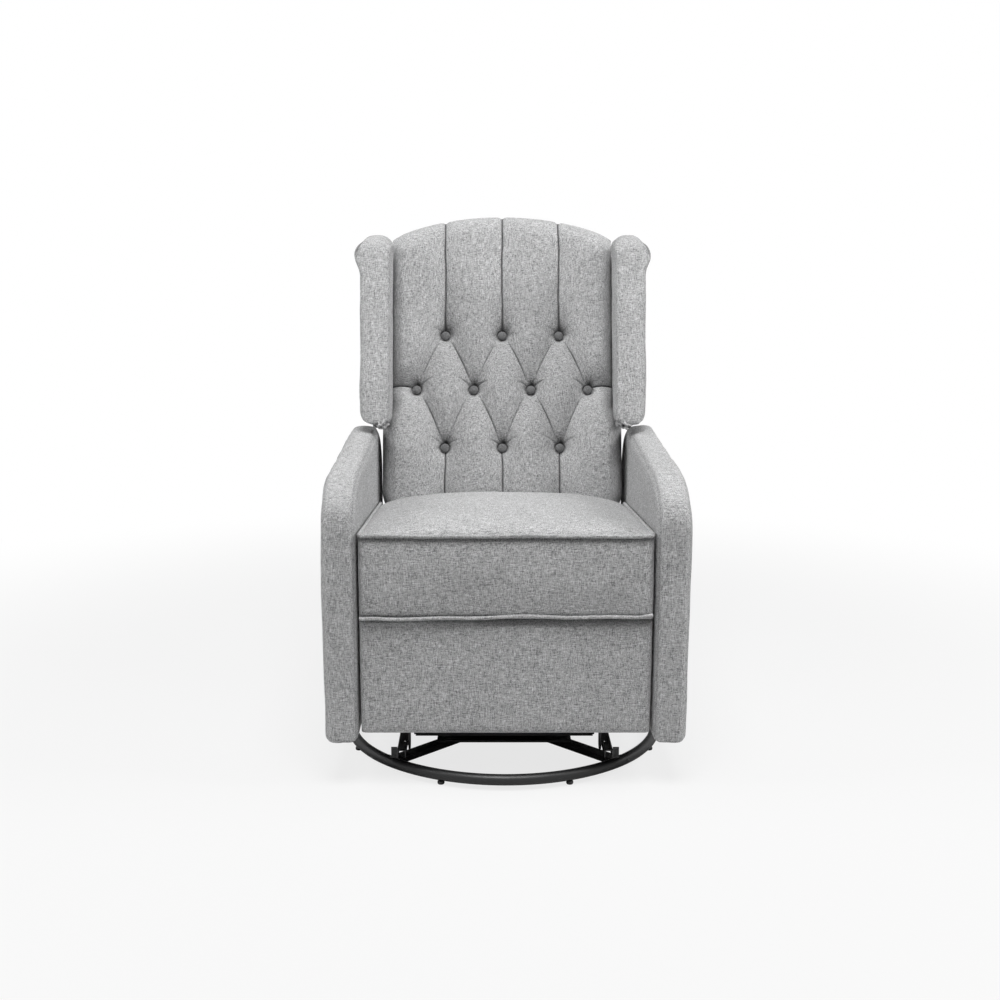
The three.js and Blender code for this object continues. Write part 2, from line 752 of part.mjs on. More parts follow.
// Footrest: a padded board on a steel frame whose brackets hang from the links
const padEdge = 13;
const boardThickness = 6;
const padHalfWidth = seatHalfWidth - 1;
const boardInset = 14;
const frameBand = 60;
const footrestFront = -1;
const bracketCornerShare = 0.6;
const bracketLowShare = 1.3;
const bracketHighShare = 2;

function footrestPad() {
  const shape = polygon([
    [-padHalfWidth, footrestPanelBottom], [padHalfWidth, footrestPanelBottom],
    [padHalfWidth, footrestPanelTop], [-padHalfWidth, footrestPanelTop]]);
  return frontPlate(shape, [footrestFront, footrestFront + footrestPadThickness], padEdge);
}

function footrestBoard() {
  const front = footrestFront + footrestPadThickness + fit;
  const half = padHalfWidth - boardInset;
  const [bottom, top] = [footrestPanelBottom + boardInset, footrestPanelTop - boardInset];
  const shape = rounded([[-half, bottom], [half, bottom], [half, top], [-half, top]], boardInset);
  return frontPlate(shape, [front, front + boardThickness]);
}

function footrestFrame() {
  const front = footrestFront + footrestPadThickness + boardThickness + 2 * fit;
  const [y, z] = panelPivot;
  const inner = layer(RIGHT, 5)[0];
  const [low, high] = [z - frameBand / 2 - linkRadius, z + frameBand / 2];
  const band = block([-inner - weld, inner + weld], [front, front + steel], [low, high]);
  const brackets = SIDES.flatMap(([, side]) => {
    const outline = rounded([
      [front, low], [y + linkRadius, z - bracketLowShare * linkRadius],
      [stayEnd[0] + linkRadius, stayEnd[1] - linkRadius], [stayEnd[0] + linkRadius, stayEnd[1] + linkRadius],
      [y, z + bracketHighShare * linkRadius], [front, high]], linkRadius * bracketCornerShare);
    return [
      cut(sidePlate(outline, layer(side, 5)), layerHole(side, panelPivot, 5)),
      layerPin(side, stayEnd, smallPin, 4, 5),
    ];
  });
  return join(band, ...brackets);
}

// Back, drawn upright in its own frame: x across, y back from the fabric face, z up the slope
const backCushionTail = 70;
const lowerWiden = 22.5;
const shoulderDrop = 38;
const tailWiden = 5;
const rowRises = [407, 277, 140];
const rowShares = [[-1, 0, 1], [-1.5, -0.5, 0.5, 1.5], [-1, 0, 1]];
const buttonMargin = 59.95;
const buttonPitch = (backHalfWidth - buttonMargin) / Math.max(...rowShares.flat());
const pocketDepth = 25;
const pocketSpread = 17;
const pleatDepth = 9;
const pleatSpread = 13;
const channelDepth = 8;
const crownPowerShare = 0.8;
const buttons = rowRises.flatMap((rise, row) => rowShares[row].map((c) => [c * buttonPitch, rise]));

function crownRise(x) {
  const share = Math.min(1, Math.abs(x) / backHalfWidth);
  return shoulderRise + (backCrownRise - shoulderRise) * (1 - share * share) ** crownPowerShare;
}

// Pleats run between neighbouring buttons of two rows, seams above the top row and below the last
const pleats = rowRises.slice(1).flatMap((rise, row) => rowShares[row].flatMap((c) => rowShares[row + 1]
  .filter((d) => Math.abs(d - c) < 1)
  .map((d) => [[c * buttonPitch, rowRises[row]], [d * buttonPitch, rise]])));
const seams = [
  ...rowShares.at(0).map((c) => [[c * buttonPitch, rowRises.at(0)], [c * buttonPitch, backCrownRise]]),
  ...rowShares.at(-1).map((c) => [[c * buttonPitch, rowRises.at(-1)], [c * buttonPitch, -backCushionTail]]),
];

function distanceTo([[ax, az], [bx, bz]], x, z) {
  const [dx, dz] = [bx - ax, bz - az];
  const t = Math.min(1, Math.max(0, ((x - ax) * dx + (z - az) * dz) / (dx * dx + dz * dz)));
  return Math.hypot(x - ax - t * dx, z - az - t * dz);
}

function quiltDepth(x, z) {
  const deepest = (things, depth, spread, distance) => (
    depth * Math.exp(-Math.min(...things.map(distance)) / spread));
  return Math.max(
    deepest(buttons, pocketDepth, pocketSpread, ([bx, bz]) => Math.hypot(x - bx, z - bz)),
    deepest(pleats, pleatDepth, pleatSpread, (line) => distanceTo(line, x, z)),
    deepest(seams, channelDepth, pleatSpread, (line) => distanceTo(line, x, z)));
}

function halfWidthAt(z) {
  const ease = (t) => t * t * (3 - 2 * t);
  const rise = ease(Math.min(1, Math.max(0, (z + backCushionTail / 3) / backCushionTail)));
  const fall = ease(Math.min(1, Math.max(0, (z - wingRise(0) + lowerWiden) / lowerWiden)));
  return backHalfWidth + tailWiden * (1 - rise) * (1 - fall) + lowerWiden * rise * (1 - fall);
}

const columnCount = 14;
const pitchCount = 8;
const rearCount = 8;
const edgeDepth = 24;
const edgeStrip = 9;
const edgeShare = 0.9;
const rollShare = 0.45;
const deepestShare = 1.6;
const tailShares = [-1, -0.4, 0.2, 0.8, 1.4];
const rowStepShares = [0, 0.25, 0.5, 0.75];
const topShares = [[0, 0], [0.16, 0], [0.36, 0], [0.58, 0], [0.8, 0.02], [0.92, 0.12], [0.98, 0.45], [1, 1]];

function backCushion() {
  const rollDepth = cushionThickness * rollShare;
  const [topRow, middleRow, lastRow] = rowRises;
  const levels = [
    ...tailShares.map((t) => t * backCushionTail),
    ...rowStepShares.map((t) => lastRow + t * (middleRow - lastRow)),
    ...rowStepShares.map((t) => middleRow + t * (topRow - middleRow)),
  ];
  const ring = (riseAt, roll) => {
    const points = [];
    const half = halfWidthAt(riseAt(0));
    const columns = Array.from(
      { length: 2 * columnCount + 1 }, (_, i) => (i - columnCount) * buttonPitch / pitchCount);
    [-half, edgeStrip - half, ...columns, half - edgeStrip, half].forEach((x) => {
      const z = riseAt(x);
      const edge = edgeDepth * Math.max(0, (Math.abs(x) / half - edgeShare) / (1 - edgeShare)) ** 2;
      const depth = edge + quiltDepth(x, z) * (1 - roll) + rollDepth * roll;
      points.push(new THREE.Vector3(x, Math.min(rollDepth * deepestShare, depth), z));
    });
    for (let i = 0; i <= rearCount; i += 1) {
      const x = half * (1 - 2 * i / rearCount);
      points.push(new THREE.Vector3(x, cushionThickness, riseAt(x)));
    }
    return points;
  };
  const rings = [
    ...levels.map((z) => ring(() => z, 0)),
    ...topShares.map(([t, roll]) => ring((x) => topRow + t * (crownRise(x) - topRow), roll)),
  ];
  return loft(rings, (points) => zipped(points, points.length - rearCount - 1));
}

// Outside back: the timber frame with its fabric cover, cut to the same crown
const crownInset = 6;
const frameEdge = 8;
const archCount = 16;

function backFrame() {
  const front = cushionThickness + fit;
  const wingFoot = wingRise(cushionThickness) - shoulderDrop;
  const half = layer(RIGHT, 3)[0] - fit;
  const points = [[half, -backCushionTail], [half, wingFoot], [backHalfWidth, wingFoot + lowerWiden / 2]];
  const arch = Array.from({ length: archCount + 1 }, (_, i) => {
    const x = backHalfWidth * Math.cos(Math.PI * i / archCount);
    return [x, crownRise(x) - crownInset];
  });
  const shape = polygon([...points, ...arch, ...points.reverse().map(([x, z]) => [-x, z])]);
  return frontPlate(shape, [front, front + backFrameThickness], frameEdge);
}

// Height above the foot, up the slope, of the level line along the wing's lower edge
function wingRise(depth) {
  return (wingBottomHeight - backFootHeight + depth * Math.sin(recline)) / Math.cos(recline);
}

const wingEdge = 22;
const wingTopRadius = 58;
const scrollReach = 6;
const scrollHalf = 40;
const capDrop = 11;

function wing(side) {
  const rear = cushionThickness + backFrameThickness + fit;
  const inner = backHalfWidth + fit;
  const shape = new THREE.Shape();
  shape.moveTo(-wingReach, wingRise(-wingReach));
  shape.lineTo(rear, wingRise(rear));
  shape.lineTo(rear, shoulderRise - crownInset);
  shape.lineTo(wingTopRadius - wingReach, wingTopRise);
  shape.absarc(
    wingTopRadius - wingReach, wingTopRise - wingTopRadius, wingTopRadius, Math.PI / 2, Math.PI, false);
  const body = paddedSide(shape, across(side, inner, inner + wingThickness), wingEdge, 8);
  const place = body.attributes.position;
  for (let i = 0; i < place.count; i += 1) {
    const outward = 2 * (side * place.getX(i) - inner) / wingThickness - 1;
    const level = (place.getZ(i) - wingTopRise + scrollHalf) / scrollHalf;
    const bulge = Math.max(0, 1 - level * level);
    place.setX(i, place.getX(i) + side * scrollReach * Math.max(0, outward) * bulge);
    place.setZ(i, place.getZ(i) - capDrop * outward * outward * Math.min(1, Math.max(0, level)));
  }
  return body;
}

// Back bracket: turns on the seat plate and runs up the side of the timber frame
function backBracket(side) {
  const pivotDepth = (reclinePivot[0] - backFootDepth) * Math.cos(recline)
    - (reclinePivot[1] - backFootHeight) * Math.sin(recline);
  const pivotRise = (reclinePivot[0] - backFootDepth) * Math.sin(recline)
    + (reclinePivot[1] - backFootHeight) * Math.cos(recline);
  const face = cushionThickness + fit + frameEdge;
  const rear = face + backFrameThickness - 2 * frameEdge;
  const wingFoot = wingRise(cushionThickness) - shoulderDrop;
  const outline = rounded([
    [pivotDepth - lugReach, pivotRise - lugReach], [rear, pivotRise - lugReach],
    [rear, wingFoot], [face, wingFoot], [face, pivotRise + lugReach],
    [pivotDepth - lugReach, pivotRise + lugReach]], lugReach * plateCornerShare);
  return join(
    sidePlate(outline, layer(side, 3)),
    layerPin(side, [pivotDepth, pivotRise], pinRadius, 2, 3));
}

const buttonRadius = 10;
const buttonDome = 6;
const buttonShank = 9;
const buttonGap = 2.6;
const domeShares = [[0.92, 0.5], [0.5, 0.93]];

function button() {
  const dome = domeShares.map(([out, up]) => [buttonRadius * out, buttonDome * up]);
  const profile = [[0, -buttonShank], [buttonRadius, 0], ...dome, [0, buttonDome]];
  const lathe = new THREE.LatheGeometry(profile.map(([r, h]) => new THREE.Vector2(r, h)), 10);
  return lathe.rotateX(Math.PI / 2).rotateX(Math.PI / 2);
}

// Assembly
const chair = new THREE.Group();

const base = new THREE.Group();
base.position.y = swivelDepth;
base.add(piece('base_ring', baseRing(), blackSteel));
base.add(piece('base_cross', baseCross(), blackSteel));
base.add(piece('swivel_lower_race', lowerRace(), linkSteel));
base.add(piece('swivel_bolt', swivelBolt(), linkSteel));
for (let i = 0; i < glideCount; i += 1) {
  const turn = (i + 0.5) * 2 * Math.PI / glideCount;
  base.add(piece(`glide_foot_${i + 1}`, glide(turn), plasticBlack));
}
base.add(piece('swivel_frame', swivelFrame(), blackSteel));
SIDES.forEach(([hand, side]) => {
  base.add(piece(`glider_tower_${hand}`, gliderTower(side), blackSteel));
  base.add(piece(`swing_link_front_${hand}`, swingLink(side, -swingSpread), linkSteel));
  base.add(piece(`swing_link_rear_${hand}`, swingLink(side, swingSpread), linkSteel));
  base.add(piece(`carriage_rail_${hand}`, carriageRail(side), blackSteel));
});
base.add(piece('carriage_cross_tube', crossTube(), blackSteel));

const body = new THREE.Group();
body.add(piece('rear_panel', rearPanel(), fabric));
body.add(piece('footrest_drive', driveLinks(), linkSteel));
body.add(piece('seat_deck', seatDeck(), timber));
body.add(piece('seat_cushion', seatCushion(), fabric));
body.add(piece('footrest_pad', footrestPad(), fabric));
body.add(piece('footrest_board', footrestBoard(), timber));
body.add(piece('footrest_frame', footrestFrame(), blackSteel));
SIDES.forEach(([hand, side]) => {
  body.add(piece(`arm_${hand}`, arm(side), fabric));
  body.add(piece(`seat_link_front_${hand}`, seatLink(side, carriagePivotFront), linkSteel));
  body.add(piece(`seat_link_rear_${hand}`, seatLink(side, carriagePivotRear), linkSteel));
  body.add(piece(`seat_plate_${hand}`, seatPlate(side), blackSteel));
  body.add(piece(`footrest_front_link_${hand}`, frontLink(side), linkSteel));
  body.add(piece(`footrest_control_link_${hand}`, controlLink(side), linkSteel));
  body.add(piece(`footrest_stay_link_${hand}`, stayLink(side), linkSteel));
});

const back = new THREE.Group();
back.position.set(0, backFootDepth, backFootHeight);
back.rotation.x = -recline;
back.add(piece('back_frame', backFrame(), fabric));
back.add(piece('back_cushion', backCushion(), fabric));
SIDES.forEach(([hand, side]) => {
  back.add(piece(`wing_${hand}`, wing(side), fabric));
  back.add(piece(`back_bracket_${hand}`, backBracket(side), blackSteel));
});
buttons.forEach(([x, z], i) => {
  const mesh = piece(`tuft_button_${i + 1}`, button(), buttonFabric);
  mesh.position.set(x, pocketDepth - buttonShank - buttonGap, z);
  back.add(mesh);
});

chair.add(base, body, back);
chair.updateMatrixWorld(true);
const reach = new THREE.Box3().setFromObject(chair, true);
chair.position.set(0, -(reach.min.y + reach.max.y) / 2, -reach.min.z);
export default chair;
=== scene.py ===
import math

import bmesh
import bpy
import numpy as np
from mathutils import Matrix, Vector


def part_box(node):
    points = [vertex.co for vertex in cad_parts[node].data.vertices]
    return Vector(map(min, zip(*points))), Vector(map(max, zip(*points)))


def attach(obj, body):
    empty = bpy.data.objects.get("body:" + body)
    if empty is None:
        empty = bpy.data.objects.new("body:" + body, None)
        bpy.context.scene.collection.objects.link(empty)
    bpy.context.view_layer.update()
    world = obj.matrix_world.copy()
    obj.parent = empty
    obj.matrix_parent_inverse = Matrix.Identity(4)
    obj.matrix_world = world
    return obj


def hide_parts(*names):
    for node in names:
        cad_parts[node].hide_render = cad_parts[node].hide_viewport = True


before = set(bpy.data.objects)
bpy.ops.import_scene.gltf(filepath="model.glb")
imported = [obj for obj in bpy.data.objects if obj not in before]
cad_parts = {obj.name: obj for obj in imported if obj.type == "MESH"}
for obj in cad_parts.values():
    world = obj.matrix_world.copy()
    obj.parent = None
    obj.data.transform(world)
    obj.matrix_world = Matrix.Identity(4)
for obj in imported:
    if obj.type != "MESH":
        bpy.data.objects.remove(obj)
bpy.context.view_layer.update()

# Camera and studio
# The chair stands on a pale floor that fades into white, under a soft top light and a soft light
# high on either side, and the camera looks slightly down on it from the front.
scene = bpy.context.scene
scene.view_settings.view_transform = "Standard"
camera_place = (-0.039, -2.737, 0.995)
camera_tilt = math.radians(79.85)
camera_lens = 45.43
frame_shift = (0.0145, -0.005)


def add_camera():
    lens = bpy.data.cameras.new("camera")
    lens.lens = camera_lens
    lens.shift_x, lens.shift_y = frame_shift
    camera = bpy.data.objects.new("camera", lens)
    camera.location = camera_place
    camera.rotation_euler = (camera_tilt, 0, 0)
    scene.collection.objects.link(camera)
    scene.camera = camera


add_camera()


class Value:
    """A socket of a node tree; arithmetic on it adds Math nodes."""

    def __init__(self, tree, socket):
        self.tree = tree
        self.socket = socket

    def math(self, operation, *others):
        return self.tree.add("ShaderNodeMath", {"operation": operation}, [self, *others])

    def __add__(self, other):
        return self.math("ADD", other)

    __radd__ = __add__

    def __mul__(self, other):
        return self.math("MULTIPLY", other)

    __rmul__ = __mul__

    def __sub__(self, other):
        return self.math("SUBTRACT", other)

    def __rsub__(self, other):
        return self.tree.add("ShaderNodeMath", {"operation": "SUBTRACT"}, [other, self])


class Tree:
    """The nodes of one material or of the world."""

    def __init__(self, owner):
        owner.use_nodes = True
        self.nodes = owner.node_tree.nodes
        self.links = owner.node_tree.links
        self.nodes.clear()

    def add(self, kind, settings=None, inputs=(), output=0):
        node = self.nodes.new(kind)
        for name, value in (settings or {}).items():
            if name == "stops":
                ramp = node.color_ramp.elements
                while len(ramp) < len(value):
                    ramp.new(0.5)
                for element, (place, colour) in zip(ramp, value):
                    element.position = place
                    element.color = (*colour, 1.0)
            else:
                setattr(node, name, value)
        pairs = inputs.items() if isinstance(inputs, dict) else enumerate(inputs)
        for name, value in pairs:
            if isinstance(value, Value):
                self.links.new(value.socket, node.inputs[name])
            elif value is not None:
                node.inputs[name].default_value = value
        return Value(self, node.outputs[output]) if node.outputs else None


white = (1.0, 1.0, 1.0, 1.0)
world_glow = 0.06
glossy_glow = 0.6
lamps = {
    "top_light": {"place": (0.0, -1.75, 4.4), "aim": (0.0, -0.05, 0.5), "size": 2.2, "power": 150.0},
    "left_light": {"place": (-2.7, -0.4, 2.2), "aim": (0.0, 0.0, 0.6), "size": 1.4, "power": 43.0},
    "right_light": {"place": (2.7, -0.4, 2.2), "aim": (0.0, 0.0, 0.6), "size": 1.4, "power": 56.0},
}


def light_studio():
    world = bpy.data.worlds.new("studio")
    scene.world = world
    tree = Tree(world)
    in_view = tree.add("ShaderNodeLightPath", output="Is Camera Ray")
    in_gloss = tree.add("ShaderNodeLightPath", output="Is Glossy Ray")
    seen = in_view.math("MAXIMUM", in_gloss * glossy_glow)
    shader = tree.add("ShaderNodeBackground", None, {
        "Color": white, "Strength": seen * (1 - world_glow) + world_glow})
    tree.add("ShaderNodeOutputWorld", None, {"Surface": shader})
    for name, lamp in lamps.items():
        data = bpy.data.lights.new(name, "AREA")
        data.size = lamp["size"]
        data.energy = lamp["power"]
        light = bpy.data.objects.new(name, data)
        light.location = lamp["place"]
        way = Vector(lamp["aim"]) - Vector(lamp["place"])
        light.rotation_euler = way.to_track_quat("-Z", "Y").to_euler()
        scene.collection.objects.link(light)


light_studio()
floor_size = 9.0
floor_colour = (0.62, 0.62, 0.62, 1.0)
floor_fade = (1.0, 2.6)
near_white = 0.78


def lay_floor():
    bm = bmesh.new()
    bmesh.ops.create_grid(bm, x_segments=2, y_segments=2, size=floor_size)
    floor = bpy.data.objects.new("floor", bpy.data.meshes.new("floor"))
    bm.to_mesh(floor.data)
    bm.free()
    scene.collection.objects.link(floor)
    material = bpy.data.materials.new("pale_floor")
    tree = Tree(material)
    place = tree.add("ShaderNodeTexCoord", output="Object")
    away = tree.add("ShaderNodeVectorMath", {"operation": "LENGTH"}, [place], output="Value")
    fade = tree.add("ShaderNodeMapRange", {"interpolation_type": "SMOOTHSTEP"},
                    {"Value": away, "From Min": floor_fade[0], "From Max": floor_fade[1]})
    seen = tree.add("ShaderNodeLightPath", output="Is Camera Ray")
    lit = tree.add("ShaderNodeBsdfDiffuse", None, {"Color": floor_colour})
    glow = tree.add("ShaderNodeEmission", None, {"Color": white, "Strength": 1.0})
    whiteness = (fade * (1 - near_white) + near_white) * seen
    shader = tree.add("ShaderNodeMixShader", None, [whiteness, lit, glow])
    tree.add("ShaderNodeOutputMaterial", None, {"Surface": shader})
    floor.data.materials.append(material)


lay_floor()

# Black steel
# Every steel piece of the base, glider and linkage is powder coated satin black; the pressed
# links are a little glossier. The coat has a fine orange peel and is thinner on its edges.
worn_colour = (0.09, 0.09, 0.092, 1.0)
worn_edge = (0.53, 0.62)
gloss_patches = 26.0
gloss_spread = 0.16
peel_grains = 900.0
peel_height = 0.0004


def coated_steel(name, colour, roughness, peel):
    material = bpy.data.materials.new(name)
    tree = Tree(material)
    place = tree.add("ShaderNodeTexCoord", output="Object")
    cloud = tree.add("ShaderNodeTexNoise", None, {
        "Vector": place, "Scale": gloss_patches, "Detail": 4.0})
    grain = tree.add("ShaderNodeTexNoise", None, {
        "Vector": place, "Scale": peel_grains, "Detail": 2.0})
    edge = tree.add("ShaderNodeNewGeometry", output="Pointiness")
    worn = tree.add("ShaderNodeMapRange", None, {
        "Value": edge, "From Min": worn_edge[0], "From Max": worn_edge[1]})
    paint = tree.add("ShaderNodeMix", {"data_type": "RGBA"},
                     {0: worn * cloud, 6: (*colour, 1.0), 7: worn_colour}, output=2)
    bump = tree.add("ShaderNodeBump", None, {
        "Strength": peel, "Distance": peel_height, "Height": grain})
    shader = tree.add("ShaderNodeBsdfPrincipled", None, {
        "Base Color": paint,
        "Roughness": cloud * gloss_spread + (roughness - gloss_spread / 2),
        "Specular IOR Level": 0.5,
        "Normal": bump,
    })
    tree.add("ShaderNodeOutputMaterial", None, {"Surface": shader})
    return material


black_steel = coated_steel("black_steel", colour=(0.014, 0.014, 0.0145), roughness=0.4, peel=0.25)
link_steel = coated_steel("link_steel", colour=(0.022, 0.022, 0.023), roughness=0.33, peel=0.12)


def finished(name, bm, material, body, slot, *nodes, smooth=True):
    """A mesh piece in its place, with its material, body and the CAD nodes it stands for; the slot is not
    used.
    """
    mesh = bpy.data.meshes.new(name)
    bm.to_mesh(mesh)
    bm.free()
    if smooth:
        mesh.shade_smooth()
    else:
        mesh.shade_flat()
    piece = bpy.data.objects.new(name, mesh)
    scene.collection.objects.link(piece)
    mesh.materials.append(material)
    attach(piece, body)
    if nodes:
        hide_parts(*nodes)
    return piece


merge_distance = 1e-6
coplanar_angle = math.radians(1)
sheared_edge = 0.0005
bevel_angle = math.radians(35)
sharp_angle = math.radians(32)


def crisp_copy(node, body, material, slot, bevel=sheared_edge):
    """A pressed, welded or sawn piece with its CAD shape, its edges broken by a small bevel."""
    bm = bmesh.new()
    bm.from_mesh(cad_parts[node].data)
    bmesh.ops.remove_doubles(bm, verts=bm.verts, dist=merge_distance)
    bmesh.ops.dissolve_limit(bm, angle_limit=coplanar_angle, verts=bm.verts, edges=bm.edges)
    bmesh.ops.recalc_face_normals(bm, faces=bm.faces)
    piece = finished(node + "_coated", bm, material, body, slot, node, smooth=False)
    edge = piece.modifiers.new("edge", "BEVEL")
    edge.width = bevel
    edge.segments = 2
    edge.limit_method = "ANGLE"
    edge.angle_limit = bevel_angle
    piece.data.set_sharp_from_angle(angle=sharp_angle)


# Ring base
# A 22 mm steel tube rolled into a ring, with the two crossed rectangular tubes and the square
# plate welded inside it. One plug screw closes the ring where the tube's ends meet.
ring_low, ring_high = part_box("base_ring")
ring_centre = (ring_low + ring_high) / 2
ring_tube = (ring_high.z - ring_low.z) / 2
ring_radius = (ring_high.x - ring_low.x) / 2 - ring_tube
eighth_turn = math.pi / 4
bead_radius = 0.0035
bead_pitch = 0.0026
bead_rise = 0.003
plug_turn = -0.96 * eighth_turn
plug_radius = 0.0042
plug_dome_share = 0.45
tube_corner = 0.0012


def at_ring(turn, radius):
    return ring_centre + Vector((math.cos(turn), math.sin(turn), 0)) * radius


def rolled_ring():
    bm = bmesh.new()
    section = bmesh.ops.create_circle(bm, segments=20, radius=ring_tube)["verts"]
    bmesh.ops.rotate(bm, verts=section, matrix=Matrix.Rotation(math.pi / 2, 3, "X"))
    bmesh.ops.translate(bm, verts=section, vec=Vector((ring_radius, 0, 0)))
    bmesh.ops.spin(bm, geom=bm.verts[:] + bm.edges[:], cent=(0, 0, 0), axis=(0, 0, 1),
                   angle=2 * math.pi, steps=144, use_merge=True)
    bmesh.ops.remove_doubles(bm, verts=bm.verts, dist=10 * merge_distance)
    bmesh.ops.recalc_face_normals(bm, faces=bm.faces)
    bmesh.ops.translate(bm, verts=bm.verts, vec=ring_centre)
    finished("rolled_ring", bm, black_steel, "base", "black_steel", "base_ring")


def weld_beads():
    bm = bmesh.new()
    for corner in range(4):
        turn = eighth_turn + corner * 2 * eighth_turn
        joint = at_ring(turn, ring_radius - ring_tube) + Vector((0, 0, bead_rise))
        along = Vector((-math.sin(turn), math.cos(turn), 0)) * bead_pitch
        for step in range(-5, 6):
            bead = bmesh.ops.create_uvsphere(bm, u_segments=8, v_segments=6, radius=bead_radius)
            bmesh.ops.translate(bm, verts=bead["verts"], vec=joint + along * step)
    finished("ring_welds", bm, black_steel, "base", "black_steel")


def plug_screw():
    bm = bmesh.new()
    head = bmesh.ops.create_uvsphere(bm, u_segments=16, v_segments=8, radius=plug_radius)["verts"]
    bmesh.ops.scale(bm, verts=head, vec=(1, 1, plug_dome_share))
    bmesh.ops.rotate(bm, verts=head, matrix=Matrix.Rotation(math.pi / 2, 3, "Y"))
    bmesh.ops.rotate(bm, verts=head, matrix=Matrix.Rotation(plug_turn, 3, "Z"))
    bmesh.ops.translate(bm, verts=head, vec=at_ring(plug_turn, ring_radius + ring_tube))
    finished("plug_screw", bm, link_steel, "base", "black_steel")


rolled_ring()
weld_beads()
plug_screw()
crisp_copy("base_cross", "base", black_steel, "black_steel", tube_corner)
crisp_copy("swivel_lower_race", "base", link_steel, "link_steel")
crisp_copy("swivel_bolt", "base", link_steel, "link_steel")

# Glides
# Eight domed glides, moulded in black nylon, are pressed into the underside of the ring and
# carry the chair.
glide_plastic = coated_steel("glide_plastic", colour=(0.012, 0.012, 0.012), roughness=0.55, peel=0.3)
dome_shares = ((0.62, 0.0), (0.86, 0.1), (0.98, 0.3), (1.0, 0.55), (0.96, 0.8), (0.8, 1.0))


def domed_glide(number):
    low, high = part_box(f"glide_foot_{number}")
    centre = (low + high) / 2
    radius = (high.x - low.x) / 2
    bm = bmesh.new()
    rim = [bm.verts.new((radius * r, 0, low.z + (high.z - low.z) * h)) for r, h in dome_shares]
    for a, b in zip(rim, rim[1:]):
        bm.edges.new((a, b))
    bmesh.ops.spin(bm, geom=bm.verts[:] + bm.edges[:], cent=(0, 0, 0), axis=(0, 0, 1),
                   angle=2 * math.pi, steps=24, use_merge=True)
    bmesh.ops.remove_doubles(bm, verts=bm.verts, dist=merge_distance)
    bmesh.ops.holes_fill(bm, edges=bm.edges)
    bmesh.ops.recalc_face_normals(bm, faces=bm.faces)
    bmesh.ops.translate(bm, verts=bm.verts, vec=Vector((centre.x, centre.y, 0)))
    finished(f"glide_{number}", bm, glide_plastic, "base", "glide_plastic", f"glide_foot_{number}")


for number in range(1, 9):
    domed_glide(number)

# Turning frame, glider and seat mechanism
# Sheet steel and tube, laser cut, folded, welded and powder coated. The links turn on shouldered
# rivets, whose heads show on the towers and the rails.
welded = {
    "swivel_frame": "swivel",
    "glider_tower_left": "swivel",
    "glider_tower_right": "swivel",
    "carriage_rail_left": "carriage",
    "carriage_rail_right": "carriage",
    "carriage_cross_tube": "carriage",
    "seat_plate_left": "seat",
    "seat_plate_right": "seat",
    "back_bracket_left": "back",
    "back_bracket_right": "back",
    "footrest_frame": "footrest",
}
for node, body in welded.items():
    crisp_copy(node, body, black_steel, "black_steel")

crisp_copy("footrest_drive", "footrest_drive", link_steel, "link_steel")
for hand in ("left", "right"):
    links = {
        f"swing_link_front_{hand}": f"swing_front_{hand}",
        f"swing_link_rear_{hand}": f"swing_rear_{hand}",
        f"seat_link_front_{hand}": "seat_links_front",
        f"seat_link_rear_{hand}": "seat_links_rear",
        f"footrest_front_link_{hand}": "footrest_front_links",
        f"footrest_control_link_{hand}": "footrest_control_links",
        f"footrest_stay_link_{hand}": "footrest_stay_links",
    }
    for node, body in links.items():
        crisp_copy(node, body, link_steel, "link_steel")

# Timber
# The seat deck and the footrest board are bare plywood and softwood, seen only from below or
# when the footrest is open.
grain_stretch = (3.0, 40.0, 40.0)
grain_colours = [(0.3, (0.42, 0.28, 0.14)), (0.5, (0.58, 0.42, 0.24)), (0.7, (0.68, 0.52, 0.33))]
grain_height = 0.0005
sawn_edge = 0.001


def bare_timber():
    material = bpy.data.materials.new("timber")
    tree = Tree(material)
    place = tree.add("ShaderNodeTexCoord", output="Object")
    along = tree.add("ShaderNodeMapping", None, {"Vector": place, "Scale": grain_stretch})
    grain = tree.add("ShaderNodeTexNoise", None, {
        "Vector": along, "Scale": 3.0, "Detail": 8.0, "Distortion": 0.6})
    colour = tree.add("ShaderNodeValToRGB", {"stops": grain_colours}, [grain])
    bump = tree.add("ShaderNodeBump", None, {
        "Strength": 0.2, "Distance": grain_height, "Height": grain})
    shader = tree.add("ShaderNodeBsdfPrincipled", None, {
        "Base Color": colour, "Roughness": grain * 0.2 + 0.55, "Normal": bump})
    tree.add("ShaderNodeOutputMaterial", None, {"Surface": shader})
    return material


timber = bare_timber()
crisp_copy("seat_deck", "seat", timber, "timber", sawn_edge)
crisp_copy("footrest_board", "footrest", timber, "timber", sawn_edge)

# Upholstery cloth
# A heathered grey linen-look weave: light and dark yarns cross, with slubs. Painted shade darkens it in
# the stitched seams and folds, which a padded piece marks in its own crease attribute. The back
# leans, and the weave of its cloth leans with it.
yarn_pitch = 0.0011
yarn_height = 0.0012
yarn_share = 0.48
fleck_width = 0.0012
fleck_length = 0.014
three_noises_mean = 1.5
heather_range = (0.35, 1.7)
cloud_spread = 0.14
painted_shade_darkness = 0.95
back_lean = math.radians(15)
cloth_grey = (0.448, 0.449, 0.452)
button_grey = (0.185, 0.186, 0.188)


